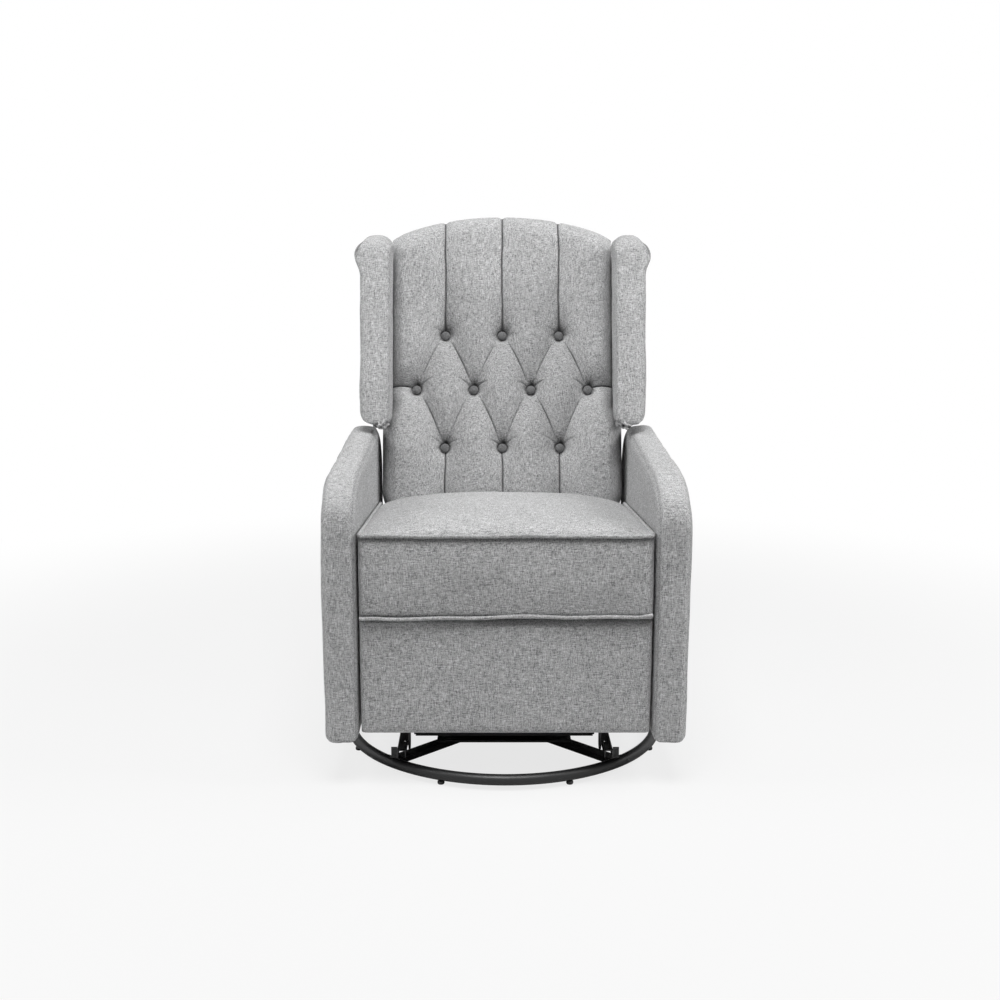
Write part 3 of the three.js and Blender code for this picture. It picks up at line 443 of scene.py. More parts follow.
def woven_cloth(name, mean, contrast, sheen, lean=0.0):
    material = bpy.data.materials.new(name)
    tree = Tree(material)
    place = tree.add("ShaderNodeMapping", None, {
        "Vector": tree.add("ShaderNodeTexCoord", output="Object"), "Rotation": (lean, 0.0, 0.0)})

    def yarns(width, length, detail):
        """Noise drawn out along each axis in turn, so that every face shows both yarns."""
        total = 0.0
        for axis in range(3):
            scale = [1 / width] * 3
            scale[axis] = 1 / length
            stretched = tree.add("ShaderNodeMapping", None, {"Vector": place, "Scale": scale})
            total = tree.add("ShaderNodeTexNoise", None, {
                "Vector": stretched, "Scale": 1.0, "Detail": detail, "Roughness": 0.6}) + total
        return total

    fine = yarns(yarn_pitch, fleck_length / 2, 1.0)
    flecks = yarns(fleck_width, fleck_length, 0.8)
    cloud = tree.add("ShaderNodeTexNoise", None, {"Vector": place, "Scale": 7.0, "Detail": 3.0})
    heather = (fine * yarn_share + flecks * (1 - yarn_share) - three_noises_mean) * contrast + 1.0
    heather = heather.math("MAXIMUM", heather_range[0]).math("MINIMUM", heather_range[1])
    shade = heather * (cloud * cloud_spread + (1 - cloud_spread / 2))
    # The heather and cloud give the cloth its own tone. The crease attribute then darkens it with painted
    # shade in seams, folds, wrinkles and button pockets.
    crease = tree.add("ShaderNodeAttribute", {"attribute_name": "crease"}, output="Fac")
    level = shade * (1.0 - crease * painted_shade_darkness)
    colour = tree.add("ShaderNodeCombineColor", None, [level * share for share in mean])
    turns = math.pi / yarn_pitch
    x, y, z = [(tree.add("ShaderNodeSeparateXYZ", None, [place], output=axis) * turns).math("SINE")
               for axis in range(3)]
    relief = (x * z + y * z + x * y) * 0.15 + fine * 0.5
    bump = tree.add("ShaderNodeBump", None, {
        "Strength": 0.6, "Distance": yarn_height, "Height": relief})
    shader = tree.add("ShaderNodeBsdfPrincipled", None, {
        "Base Color": colour,
        "Roughness": 0.9,
        "Specular IOR Level": 0.15,
        "Sheen Weight": sheen,
        "Sheen Roughness": 0.45,
        "Normal": bump,
    })
    tree.add("ShaderNodeOutputMaterial", None, {"Surface": shader})
    return material


upholstery = woven_cloth("upholstery", cloth_grey, contrast=2.6, sheen=0.15)
back_upholstery = woven_cloth("back_upholstery", cloth_grey, contrast=2.5, sheen=0.15, lean=back_lean)
button_cloth = woven_cloth("button_cloth", button_grey, contrast=1.6, sheen=0.1, lean=back_lean)


def ripple(points, wave, seed, count=7, stretch=(1.0, 1.0, 1.0)):
    """A soft wander over the points, about -1 to 1, whose swells are about a wave long."""
    draw = np.random.default_rng(seed)
    total = np.zeros(len(points))
    for _ in range(count):
        way = draw.normal(size=3)
        way *= np.array(stretch) * draw.uniform(0.7, 1.4) * 2 * math.pi / (wave * np.linalg.norm(way))
        total += np.sin(points @ way + draw.uniform(0, 2 * math.pi))
    return total / count ** 0.5 / 1.5


def read_vertices(mesh, field="co"):
    values = np.empty(3 * len(mesh.vertices))
    mesh.vertices.foreach_get(field, values)
    return values.reshape(-1, 3)


def write_points(mesh, points, crease=None):
    mesh.vertices.foreach_set("co", points.astype(np.float32).ravel())
    if crease is not None:
        mark = mesh.attributes.new("crease", "FLOAT", "POINT")
        mark.data.foreach_set("value", np.clip(crease, 0, 1).astype(np.float32))
    mesh.update()


def groove(distance, width):
    """1 on a line, falling off on either side to nothing about two widths away."""
    return np.exp(-(distance / width) ** 2)


def smooth(low, high, value):
    """0 at low and 1 at high, with an even curve between them; low may be the larger."""
    share = np.clip((value - low) / (high - low), 0, 1)
    return share * share * (3 - 2 * share)


def between(a, b, share):
    return a + (b - a) * share


def in_plane(across, up):
    return np.stack([across, up, np.zeros(len(across))], 1)


def padded_sheet(columns, rows, levels):
    """A closed pad as a flat grid from 0 to 1 each way, whose border is drawn back level by level.
    Returns the mesh and each vertex's column share, row share and level."""
    bm = bmesh.new()
    bmesh.ops.create_grid(bm, x_segments=columns, y_segments=rows, size=0.5)
    bmesh.ops.translate(bm, verts=bm.verts, vec=(0.5, 0.5, 0))
    edges = [e for e in bm.edges if e.is_boundary]
    for _ in range(levels):
        made = bmesh.ops.extrude_edge_only(bm, edges=edges)["geom"]
        edges = [e for e in made if isinstance(e, bmesh.types.BMEdge) and e.is_boundary]
        border = [v for v in made if isinstance(v, bmesh.types.BMVert)]
        bmesh.ops.translate(bm, verts=border, vec=(0, 0, 1))
    bmesh.ops.edgeloop_fill(bm, edges=edges)
    bmesh.ops.recalc_face_normals(bm, faces=bm.faces)
    share = np.array([v.co for v in bm.verts])
    return bm, share[:, 0], share[:, 1], np.round(share[:, 2])


def rolled_share(a, turned, turned_share, roll, reach):
    """From a share across the flat sheet to a share of the reach, whose last part rolls over."""
    flat = 1 - roll / reach
    even = np.minimum(np.abs(a) / (1 - turned_share), 1) * flat
    return np.sign(a) * (even + np.sin(turned * math.pi / 2) * (1 - flat))


def cloth_piece(name, bm, body, fill, *nodes):
    cloth = back_upholstery if body == "back" else upholstery
    piece = finished(name, bm, cloth, body, "upholstery", *nodes)
    return piece


# Back cushion
# Foam and fibre under one cloth, drawn in by ten buttons in three rows. Stitched channels run from
# the crown to the top row and from the last row to the seat, and folded pleats join the buttons.
back_foot = Vector((0.0, 0.1141, 0.453))
back_place = Matrix.Translation(back_foot) @ Matrix.Rotation(-back_lean, 4, "X")
back_half = 0.2587
back_low_half = 0.279
back_tail_half = 0.2635
back_tail = -0.07
tail_rises = (-0.02, 0.05)
shoulder_rises = (0.215, 0.262)
crown_side_rise = 0.64
crown_rise = 0.696
crown_notch_depth = 0.0035
crown_notch_width = 0.006
cushion_depth = 0.0995
face_depth = 0.006
edge_roll = 0.034
crown_roll = 0.05
tail_tuck = 0.012
button_pitch = 0.1325
button_rises = (0.407, 0.277, 0.140)
button_columns = ((-1, 0, 1), (-1.5, -0.5, 0.5, 1.5), (-1, 0, 1))
button_rows = [row for row, columns in enumerate(button_columns) for _ in columns]
button_points = [(c * button_pitch, button_rises[row])
                 for row, columns in enumerate(button_columns) for c in columns]
pocket_depth = 0.023
pocket_radius = 0.0085
lumbar = 0.02
diamond_swell = 0.004
diamond_edge = 0.026


def put(points, place):
    """Moves points by a 4x4 place."""
    matrix = np.array(place)
    return points @ matrix[:3, :3].T + matrix[:3, 3]


def back_half_at(rise):
    above_tail = smooth(*tail_rises, rise)
    above_shoulder = smooth(*shoulder_rises, rise)
    return between(between(back_tail_half, back_low_half, above_tail), back_half, above_shoulder)


def crown_at(x):
    share = np.clip(np.abs(x) / back_half, 0, 1)
    arch = crown_side_rise + (crown_rise - crown_side_rise) * (1 - share ** 2) ** 0.8
    notch = sum(groove(x - c * button_pitch, crown_notch_width) for c in button_columns[0])
    return arch - crown_notch_depth * notch


def lumbar_at(rise):
    return lumbar * smooth(0.42, 0.15, rise) * smooth(-0.07, 0.1, rise)


def curved(start, bend, end):
    """Points along a curve from start to end, drawn towards bend."""
    start, bend, end = np.array(start), np.array(bend), np.array(end)
    share = np.linspace(0, 1, 11)[:, None]
    return (1 - share) ** 2 * start + 2 * share * (1 - share) * bend + share ** 2 * end


def to_line(line, x, z):
    """How far each point lies from a line of points, and its share of the way along it."""
    off = np.full(x.shape, 1.0)
    share = np.zeros(x.shape)
    for step, ((ax, az), (bx, bz)) in enumerate(zip(line, line[1:])):
        span = (bx - ax) ** 2 + (bz - az) ** 2
        along = np.clip(((x - ax) * (bx - ax) + (z - az) * (bz - az)) / span, 0, 1)
        away = np.hypot(x - ax - along * (bx - ax), z - az - along * (bz - az))
        nearer = away < off
        off = np.where(nearer, away, off)
        share = np.where(nearer, (step + along) / (len(line) - 1), share)
    return off, share


seam_spans = ((button_rises[0] + 0.006, crown_rise), (back_tail, button_rises[2] - 0.008))
seam_wander = ((0.0011, 31, 2.1), (0.0006, 83, 1.0))
seam_depth = 0.009
seam_sink = 0.005
seam_shade_width = 0.0014
thread_width = 0.0017


def stitched_seams():
    """The channels above the top row and below the last one, whose stitches wander a little."""
    seams = []
    for c in button_columns[0]:
        for low, high in seam_spans:
            rises = np.linspace(low, high, 15)
            wander = sum(reach * np.sin(rises * waves + shift * c) for reach, waves, shift in seam_wander)
            seams.append(np.stack([c * button_pitch + wander, rises], 1))
    return seams


pleat_start = (0.0145, -0.017)
pleat_end = (-0.0085, 0.020)
pleat_bow = (0.005, 0.003)
# dark is the strength of the painted shade along each pleat's fold line.
rightward_pleat = {"depth": 0.006, "dark": 0.85}
leftward_pleat = {"depth": 0.0045, "dark": 0.5}
side_pleat = {"depth": 0.012, "dark": 1.0}
side_pleat_start = (0.009, 0.005)
side_pleat_bend = (0.022, 0.014)
side_pleat_end = (0.012, 0.010)


def folded_pleats():
    """Each pleat between two buttons, or from a button to the side, with its line."""
    pleats = []
    for upper in (0, 1):
        rise, lower = button_rises[upper:upper + 2]
        joined = [(c, d) for c in button_columns[upper] for d in button_columns[upper + 1]
                  if abs(c - d) < 1]
        for c, d in joined:
            way = 1 if d > c else -1
            start = (c * button_pitch + way * pleat_start[0], rise + pleat_start[1])
            end = (d * button_pitch + way * pleat_end[0], lower + pleat_end[1])
            bend = ((start[0] + end[0]) / 2 + way * pleat_bow[0], (start[1] + end[1]) / 2 + pleat_bow[1])
            kind = rightward_pleat if way > 0 else leftward_pleat
            pleats.append({"line": curved(start, bend, end), **kind})
    outer, rise = button_columns[1][-1] * button_pitch, button_rises[1]
    for side in (-1, 1):
        start = (side * (outer + side_pleat_start[0]), rise + side_pleat_start[1])
        bend = (side * (outer + side_pleat_bend[0]), rise + side_pleat_bend[1])
        end = (side * (back_half + side_pleat_end[0]), rise + side_pleat_end[1])
        pleats.append({"line": curved(start, bend, end), **side_pleat})
    return pleats


wrinkle_swing = 0.004
wrinkle_sink = 0.003
wrinkle_width = 0.0022
wrinkle_shade_width = 0.0016
long_wrinkle = {
    "offsets": ((0.010, 0.009), (0.019, 0.021), (0.036, 0.024)),
    "swing_shares": ((0, 0), (0, 0.5), (1, 1.5)),
    "strengths": (0.35, 1.0, 0.75),
}
steep_wrinkle = {
    "offsets": ((0.005, 0.012), (0.009, 0.024), (0.017, 0.036)),
    "swing_shares": ((0, 0), (0, 0), (-1, 1)),
    "strengths": (0.0, 0.3, 0.7),
}


def short_wrinkles():
    """The curved wrinkles that fan out and up from the buttons: line and strength."""
    wrinkles = []
    for number, ((x, z), row) in enumerate(zip(button_points, button_rows)):
        for way in (-1, 1):
            if row == 1 and way * x > button_pitch:
                continue
            swing = wrinkle_swing * math.sin(2.3 * number + way)
            for kind in (long_wrinkle, steep_wrinkle):
                line = [(x + way * (across + swing * sx), z + up + swing * sz)
                        for (across, up), (sx, sz) in zip(kind["offsets"], kind["swing_shares"])]
                wrinkles.append((curved(*line), kind["strengths"][row]))
    return wrinkles


film_pitch = 0.004
film_half = 0.288
film_rises = (-0.078, 0.706)
film_sweeps = 1400
stuffing = 5.2
tufted_stuffing = 8.0
button_pull = 0.011
button_pull_reach = 0.02


def stuffed_height():
    """The cloth as a stretched film over the stuffing, held at its buttons, pleats and border."""
    xs = np.arange(-film_half, film_half + film_pitch / 2, film_pitch)
    zs = np.arange(film_rises[0], film_rises[1] + film_pitch / 2, film_pitch)
    x, z = np.meshgrid(xs, zs)
    height = np.zeros_like(x)
    held = (np.abs(x) > back_half_at(z)) | (z > crown_at(x)) | (z < back_tail)
    target = np.zeros_like(x)
    pull = sum(np.exp(-np.hypot(x - bx, z - bz) / button_pull_reach) for bx, bz in button_points)
    folds = [(pleat["line"], pleat["depth"]) for pleat in folded_pleats()]
    folds += [(line, seam_depth) for line in stitched_seams()]
    for line, depth in folds:
        off, _ = to_line(line, x, z)
        near = off < film_pitch * 0.6
        target[near] = -(depth + button_pull * np.clip(pull, 0, 1))[near]
        held |= near
    for bx, bz in button_points:
        near = np.hypot(x - bx, z - bz) < pocket_radius
        target[near] = -pocket_depth
        held |= near
    height[held] = target[held]
    tufted = smooth(0.09, 0.15, z) * smooth(0.44, 0.38, z)
    push = ((stuffing + tufted_stuffing * tufted) * film_pitch ** 2 / 4)[1:-1, 1:-1]
    free = ~held[1:-1, 1:-1]
    for _ in range(film_sweeps):
        around = height[2:, 1:-1] + height[:-2, 1:-1] + height[1:-1, 2:] + height[1:-1, :-2]
        height[1:-1, 1:-1] = np.where(free, around / 4 + push, height[1:-1, 1:-1])
    return xs, zs, height


def sampled(xs, zs, height, x, z):
    """Bilinear reading of the film at each point."""
    i = np.clip((x - xs[0]) / (xs[1] - xs[0]), 0, len(xs) - 1.001)
    j = np.clip((z - zs[0]) / (zs[1] - zs[0]), 0, len(zs) - 1.001)
    i0, j0 = i.astype(int), j.astype(int)
    u, v = i - i0, j - j0
    low = between(height[j0, i0], height[j0, i0 + 1], u)
    high = between(height[j0 + 1, i0], height[j0 + 1, i0 + 1], u)
    return between(low, high, v)


rim_shade_radius = 0.0115
rim_shade_width = 0.0032
wedge_lean = 0.003
wedge_top_width = 0.0021
wedge_foot_width = 0.019
wedge_height = 0.0155
flank_place = 0.006
flank_width = 0.016
flank_height = 0.04
fan_centre = (0.0035, -0.003)
fan_angle = 0.62
fan_foot = 0.012
fan_height = 0.019
deepest_shade = 0.97


def button_shade(x, z):
    """How deep in shade the cloth lies: a rim round each button, and over it a wedge with a softer
    flank in the top row, or a fan of fine folds in the other rows."""
    shade = np.zeros(len(x))
    for number, ((bx, bz), row) in enumerate(zip(button_points, button_rows)):
        along, up = x - bx, z - bz
        away = np.hypot(along, up)
        over = smooth(-0.004, 0.006, up)
        rim = 0.9 * groove(away - rim_shade_radius, rim_shade_width) * (0.3 + 0.7 * over)
        if row == 0:
            high = np.clip(up, 0, 1)
            reach = wedge_top_width + wedge_foot_width * np.exp(-high / wedge_height)
            wedge = groove(along - wedge_lean * np.exp(-high / 0.02), reach) * np.exp(-high / 0.2)
            flank = 0.9 * groove(along - flank_place, flank_width) * np.exp(-high / flank_height)
            pocket = np.maximum(wedge, flank)
        else:
            bearing = np.arctan2(along - fan_centre[0], up - fan_centre[1])
            folds = 0.88 + 0.12 * np.sin(bearing * 23 + number) * smooth(0.014, 0.024, away)
            fading = np.exp(-np.clip(away - fan_foot, 0, 1) / fan_height)
            pocket = 1.3 * groove(bearing, fan_angle) * fading * folds
        shade = np.maximum(shade, np.maximum(rim, np.minimum(pocket, deepest_shade) * over))
    return shade


cushion_levels = 5
side_share = 0.13
crown_share = 0.07
foot_share = 0.03
side_draw = 0.004
crown_draw = 0.01


def cushion_outline(u, v):
    """Where each vertex of the sheet lies on the face, and how far it has rolled over its border."""
    a = 2 * u - 1
    side = np.clip((np.abs(a) - (1 - side_share)) / side_share, 0, 1)
    lift = np.clip((v - (1 - crown_share)) / crown_share, 0, 1)
    turn = np.hypot(side, lift)
    over = np.maximum(turn, 1) ** 0.3
    height = crown_rise - back_tail
    x_share = rolled_share(a, side / over, side_share, edge_roll, back_low_half)
    z_share = rolled_share(v, lift / over, crown_share, crown_roll, height)
    x = x_share * back_half_at(back_tail + height * z_share)
    z = back_tail + (crown_at(x) - back_tail) * z_share
    return x, z, np.clip(turn, 0, 1)


def tufted_cushion():
    bm, u, v, level = padded_sheet(360, 480, cushion_levels)
    x, z, roll = cushion_outline(u, v)
    puff = sampled(*stuffed_height(), x, z)
    valley = np.zeros(len(x))
    for pleat in folded_pleats():
        valley = np.maximum(valley, groove(to_line(pleat["line"], x, z)[0], diamond_edge))
    puff = puff - diamond_swell * valley
    sag = 0.8 * np.clip(puff, 0, 0.02) * smooth(0.5, 0.42, z) * (1 - roll)
    # Painted shade: the cloth's colour is darkened along the stitched seams, pleats and wrinkles, and
    # round and above the buttons, where the shade of the grooves and pockets falls.
    crease = np.zeros(len(x))
    for line in stitched_seams():
        off, _ = to_line(line, x, z)
        puff = puff - seam_sink * groove(off, thread_width)
        crease = np.maximum(crease, 0.92 * groove(off, seam_shade_width))
    for pleat in folded_pleats():
        off, share = to_line(pleat["line"], x, z)
        taper = np.sin(math.pi * between(0.06, 0.94, share)) ** 0.7
        puff = puff - 0.6 * pleat["depth"] * taper * groove(off, thread_width)
        shade_width = 0.0009 + 0.0006 * pleat["dark"]
        crease = np.maximum(crease, pleat["dark"] * taper * groove(off, shade_width))
    for line, strength in short_wrinkles():
        off, share = to_line(line, x, z)
        taper = np.sin(math.pi * between(0.25, 0.97, share)) ** 0.8
        puff = puff - wrinkle_sink * strength * taper * groove(off, wrinkle_width)
        crease = np.maximum(crease, 0.6 * strength * taper * groove(off, wrinkle_shade_width))
    # Painted shade in the button pockets, placed where the sagged cloth lies.
    crease = np.maximum(crease, button_shade(x, z - sag))
    where = in_plane(x, z)
    puff = puff + 0.0012 * ripple(where, 0.16, 3) + 0.0005 * ripple(where, 0.045, 4)
    tail = np.clip((foot_share - v) / foot_share, 0, 1)
    depth = face_depth + edge_roll * (1 - np.cos(roll * math.pi / 2)) + tail_tuck * tail ** 2
    depth = depth - lumbar_at(z) * (1 - roll)
    n = depth - puff * (1 - roll ** 4) * (1 - 0.4 * tail)
    z = z - sag
    behind = level / cushion_levels
    n = between(n, cushion_depth, behind ** 1.1)
    x = x - np.sign(x) * (np.abs(2 * u - 1) > 0.999) * side_draw * behind
    z = z - (v > 0.999) * crown_draw * behind
    piece = cloth_piece("tufted_cushion", bm, "back", 0.7, "back_cushion")
    write_points(piece.data, put(np.stack([x, n, z], 1), back_place), crease)


tufted_cushion()

# Buttons
# Ten covered buttons: a domed steel shell under a darker piece of the cloth, pulled in by a cord
# that runs back through the foam.
button_radius = 0.0105
button_dome_share = 0.6
button_depth = 0.0215


def covered_button(number, x, z):
    bm = bmesh.new()
    dome = bmesh.ops.create_uvsphere(bm, u_segments=28, v_segments=16, radius=button_radius)["verts"]
    bmesh.ops.scale(bm, verts=dome, vec=(1, 1, button_dome_share))
    bmesh.ops.rotate(bm, verts=dome, matrix=Matrix.Rotation(math.pi / 2, 3, "X"))
    place = Matrix.Translation((x, button_depth - float(lumbar_at(z)), z))
    bmesh.ops.transform(bm, verts=dome, matrix=back_place @ place)
    name = f"covered_button_{number}"
    finished(name, bm, button_cloth, "back", "button_cloth", f"tuft_button_{number}")


for number, (x, z) in enumerate(button_points, 1):
    covered_button(number, x, z)

# Seat cushion
# A boxed cushion of foam wrapped in fibre: a crowned top, a plain front border and piping sewn
# round the top's front and sides and along the border's lower edge.
front_room = 0.0095
rear_room = 0.003
seat_low, seat_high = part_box("seat_cushion")
seat_half = seat_high.x
seat_front = seat_low.y + front_room
seat_rear = seat_high.y - rear_room
seat_front_rise = 0.501
seat_rear_rise = 0.466
seat_crown = 0.036
seat_roll = 0.03
seat_lip = 0.006
seat_corner = 0.016
border_height = 0.158
border_levels = 30
border_belly = 0.0045
middle_belly = 0.003
under_lift = 0.0008
under_tuck = 0.008


def seat_edge_rise(y):
    share = np.clip((y - seat_front) / (seat_rear - seat_front), 0, 1)
    return between(seat_front_rise, seat_rear_rise, share)


def squared(a, b, corner, half):
    """Rounds the corners of a square share by pulling its corner points on to an arc."""
    start = 1 - corner / half
    da = np.clip((np.abs(a) - start) / (1 - start), 0, 1)
    db = np.clip((np.abs(b) - start) / (1 - start), 0, 1)
    over = np.maximum(np.hypot(da, db), 1)
    a = np.where(np.abs(a) > start, np.sign(a) * (start + (1 - start) * da / over), a)
    b = np.where(np.abs(b) > start, np.sign(b) * (start + (1 - start) * db / over), b)
    return a, b


def crowned_top(x, y, share, swell):
    """The rise of the seat's top: full in the middle, rolled down to its seams and lower behind."""
    edge = np.minimum(np.minimum(seat_half - np.abs(x), y - seat_front), seat_roll) / seat_roll
    crown = seat_crown * swell * np.sin(math.pi * (0.06 + 0.72 * share)) ** 0.7
    top = seat_edge_rise(y) + (crown + seat_lip) * np.sqrt(np.clip(edge * (2 - edge), 0, 1)) - 0.004
    where = in_plane(x, y)
    top = top + edge * (0.0016 * ripple(where, 0.19, 11) + 0.0005 * ripple(where, 0.06, 12))
    return top - 0.004 * smooth(0.86, 1.0, share)


def boxed_cushion():
    bm, u, v, level = padded_sheet(188, 170, border_levels)
    a, b = squared(2 * u - 1, 2 * v - 1, seat_corner, seat_half)
    x = a * seat_half
    y = between(seat_front, seat_rear, (b + 1) / 2)
    swell = 1 - np.abs(a) ** 3.2
    top = crowned_top(x, y, np.clip((b + 1) / 2, 0, 1), swell)
    hem = border_levels - 3
    down = np.clip((level - 1) / (hem - 1), 0, 1)
    under = np.clip(level - hem, 0, 3) / 3
    border = between(seat_edge_rise(y) - seat_lip, seat_front_rise - border_height, down)
    z = np.where(level == 0, top, border)
    z = z - under * (z - (seat_low.z + under_lift))
    front = smooth(0.985, 1.0, -b) * (level > 0)
    flank = smooth(0.97, 1.0, np.abs(a)) * (level > 0)
    hang = in_plane(x, z)
    belly = np.sin(math.pi * down) ** 0.7
    fold = 0.0022 * ripple(hang, 0.13, 13) + 0.0009 * ripple(hang, 0.04, 14, stretch=(0.6, 1.0, 1.0))
    y = y - front * belly * (border_belly + middle_belly * swell + fold)
    y = y + front * under * under_tuck
    x = x - np.sign(x) * flank * (0.0012 + 0.001 * np.clip(fold / 0.003, -1, 1))
    # Painted shade along the border's top edge under the top piping, and at its hem by the lower piping.
    crease = 0.55 * groove(level - 1, 1.0) * (level > 0) + 0.5 * groove(level - hem, 1.0)
    piece = cloth_piece("boxed_cushion", bm, "seat", 0.75, "seat_cushion")
    write_points(piece.data, np.stack([x, y, z], 1), crease)


piping = 0.0036
piping_corner = 0.014
piping_end = 0.012
top_piping_inset = 0.0035
top_piping_lift = 0.001
lower_piping_inset = 0.003
lower_piping_stand = 0.004


def piping_tube(name, path, radius, body):
    """A cord covered in cloth, sewn along a path of points."""
    curve = bpy.data.curves.new(name, "CURVE")
    curve.dimensions = "3D"
    spline = curve.splines.new("NURBS")
    spline.points.add(len(path) - 1)
    for point, place in zip(spline.points, path):
        point.co = (*place, 1.0)
    spline.use_endpoint_u = True
    spline.order_u = 3
    curve.resolution_u = 3
    curve.bevel_depth = radius
    curve.bevel_resolution = 4
    curve.use_fill_caps = True
    shape = bpy.data.objects.new(name, curve)
    scene.collection.objects.link(shape)
    bpy.context.view_layer.update()
    mesh = bpy.data.meshes.new_from_object(shape.evaluated_get(bpy.context.evaluated_depsgraph_get()))
    bpy.data.objects.remove(shape)
    bm = bmesh.new()
    bm.from_mesh(mesh)
    finished(name, bm, upholstery, body, "upholstery")


def top_piping():
    reach = seat_half - top_piping_inset
    face = seat_front - top_piping_inset
    flank = []
    for y in np.linspace(seat_rear - piping_end, face + piping_corner, 34):
        flank.append((-reach, y, float(seat_edge_rise(y)) + top_piping_lift))
    for turn in np.linspace(0, math.pi / 2, 7)[1:-1]:
        x = piping_corner * (1 - math.cos(turn)) - reach
        y = piping_corner * (1 - math.sin(turn)) + face
        flank.append((x, y, seat_front_rise))
    front = []
    for x in np.linspace(-reach + piping_corner, reach - piping_corner, 46):
        wander = 0.0008 * math.sin(x * 21 + 0.6) + 0.0006 * math.sin(x * 47)
        front.append((x, face, seat_front_rise + wander))
    mirrored = [(-x, y, z) for x, y, z in reversed(flank)]
    piping_tube("top_piping", flank + front + mirrored, piping, "seat")


def lower_piping():
    reach = seat_half - lower_piping_inset
    path = []
    for x in np.linspace(-reach, reach, 60):
        wander = 0.0014 * math.sin(x * 17 + 1.1) + 0.0011 * math.sin(x * 39 + 0.3)
        lift = 0.004 * smooth(0.25, reach, x) - 0.002 * smooth(-0.25, -reach, x)
        rise = seat_front_rise - border_height + wander + 0.008 * x + lift
        path.append((x, seat_front - lower_piping_stand, rise))
    piping_tube("lower_piping", path, piping, "seat")


boxed_cushion()
top_piping()
lower_piping()

# Footrest pad
# A thin foam pad over the plywood board. Its cloth is plain in front, rolls over the board's
# edges and is stapled behind.
pad_low, pad_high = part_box("footrest_pad")
pad_roll = 0.012
pad_levels = 6
pad_side_share = 0.06
pad_end_share = 0.12
pad_puff = 0.0035
pad_face_depths = (0.006, 0.0105)
pad_edge_depth = 0.011


def footrest_pad():
    bm, u, v, level = padded_sheet(180, 76, pad_levels)
    a, b = 2 * u - 1, 2 * v - 1
    half = (pad_high.x - pad_low.x) / 2
    rise = (pad_high.z - pad_low.z) / 2
    middle = (pad_high.z + pad_low.z) / 2
    side = np.clip((np.abs(a) - (1 - pad_side_share)) / pad_side_share, 0, 1)
    end = np.clip((np.abs(b) - (1 - pad_end_share)) / pad_end_share, 0, 1)
    turn = np.hypot(side, end)
    over = np.maximum(turn, 1)
    roll = np.clip(turn, 0, 1)
    x = half * rolled_share(a, side / over, pad_side_share, pad_roll, half)
    z = rise * rolled_share(b, end / over, pad_end_share, pad_roll, rise)
    where = in_plane(x, z)
    puff = pad_puff * (1 - (x / half) ** 4) * (1 - (z / rise) ** 4)
    puff = puff + (0.0013 * ripple(where, 0.17, 21) + 0.0004 * ripple(where, 0.05, 22)) * (1 - roll)
    y = pad_low.y + between(*pad_face_depths, v) + pad_edge_depth * (1 - np.cos(roll * math.pi / 2))
    y = between(y - puff, pad_high.y, level / pad_levels)
    x = x * (1 - 0.004 * smooth(0.3, -0.8, z / rise))
    piece = cloth_piece("footrest_cover", bm, "footrest", 0.85, "footrest_pad")
    write_points(piece.data, np.stack([x, y, z + middle], 1))


footrest_pad()

# Arms, wings, outside back and rear panel
# Timber frames under foam and cloth. Each cover is a band sewn between two side panels, so a seam
# runs round each side a little in from the edge, and the cloth is a little loose between them.
arm_voxel = 0.0058
arm_hem = 0.012
arm_puff = 0.0018
arm_side_puff = 0.0015
arm_seam_sink = 0.0014
arm_crown = 0.006


def wrapped_copy(name, node, body, fill, voxel):
    """A soft copy of a CAD solid: its mesh made even all over, with its edges relaxed."""
    rough = bpy.data.objects.new(name + "_rough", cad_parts[node].data.copy())
    scene.collection.objects.link(rough)
    bm = bmesh.new()
    bm.from_mesh(rough.data)
    bmesh.ops.remove_doubles(bm, verts=bm.verts, dist=merge_distance)
    bm.to_mesh(rough.data)
    bm.free()
    even = rough.modifiers.new("even", "REMESH")
    even.mode = "VOXEL"
    even.voxel_size = voxel
    bpy.context.view_layer.update()
    mesh = bpy.data.meshes.new_from_object(rough.evaluated_get(bpy.context.evaluated_depsgraph_get()))
    bpy.data.objects.remove(rough)
    bm = bmesh.new()
    bm.from_mesh(mesh)
    for _ in range(4):
        bmesh.ops.smooth_vert(bm, verts=bm.verts, factor=0.5,
                              use_axis_x=True, use_axis_y=True, use_axis_z=True)
    return cloth_piece(name, bm, body, fill, node)


def fit_cover(piece, points, crease=None):
    """Moves the points of a wrapped copy to their places and rounds its faces off."""
    write_points(piece.data, points, crease)
    finer = piece.modifiers.new("finer", "SUBSURF")
    finer.levels = finer.render_levels = 1


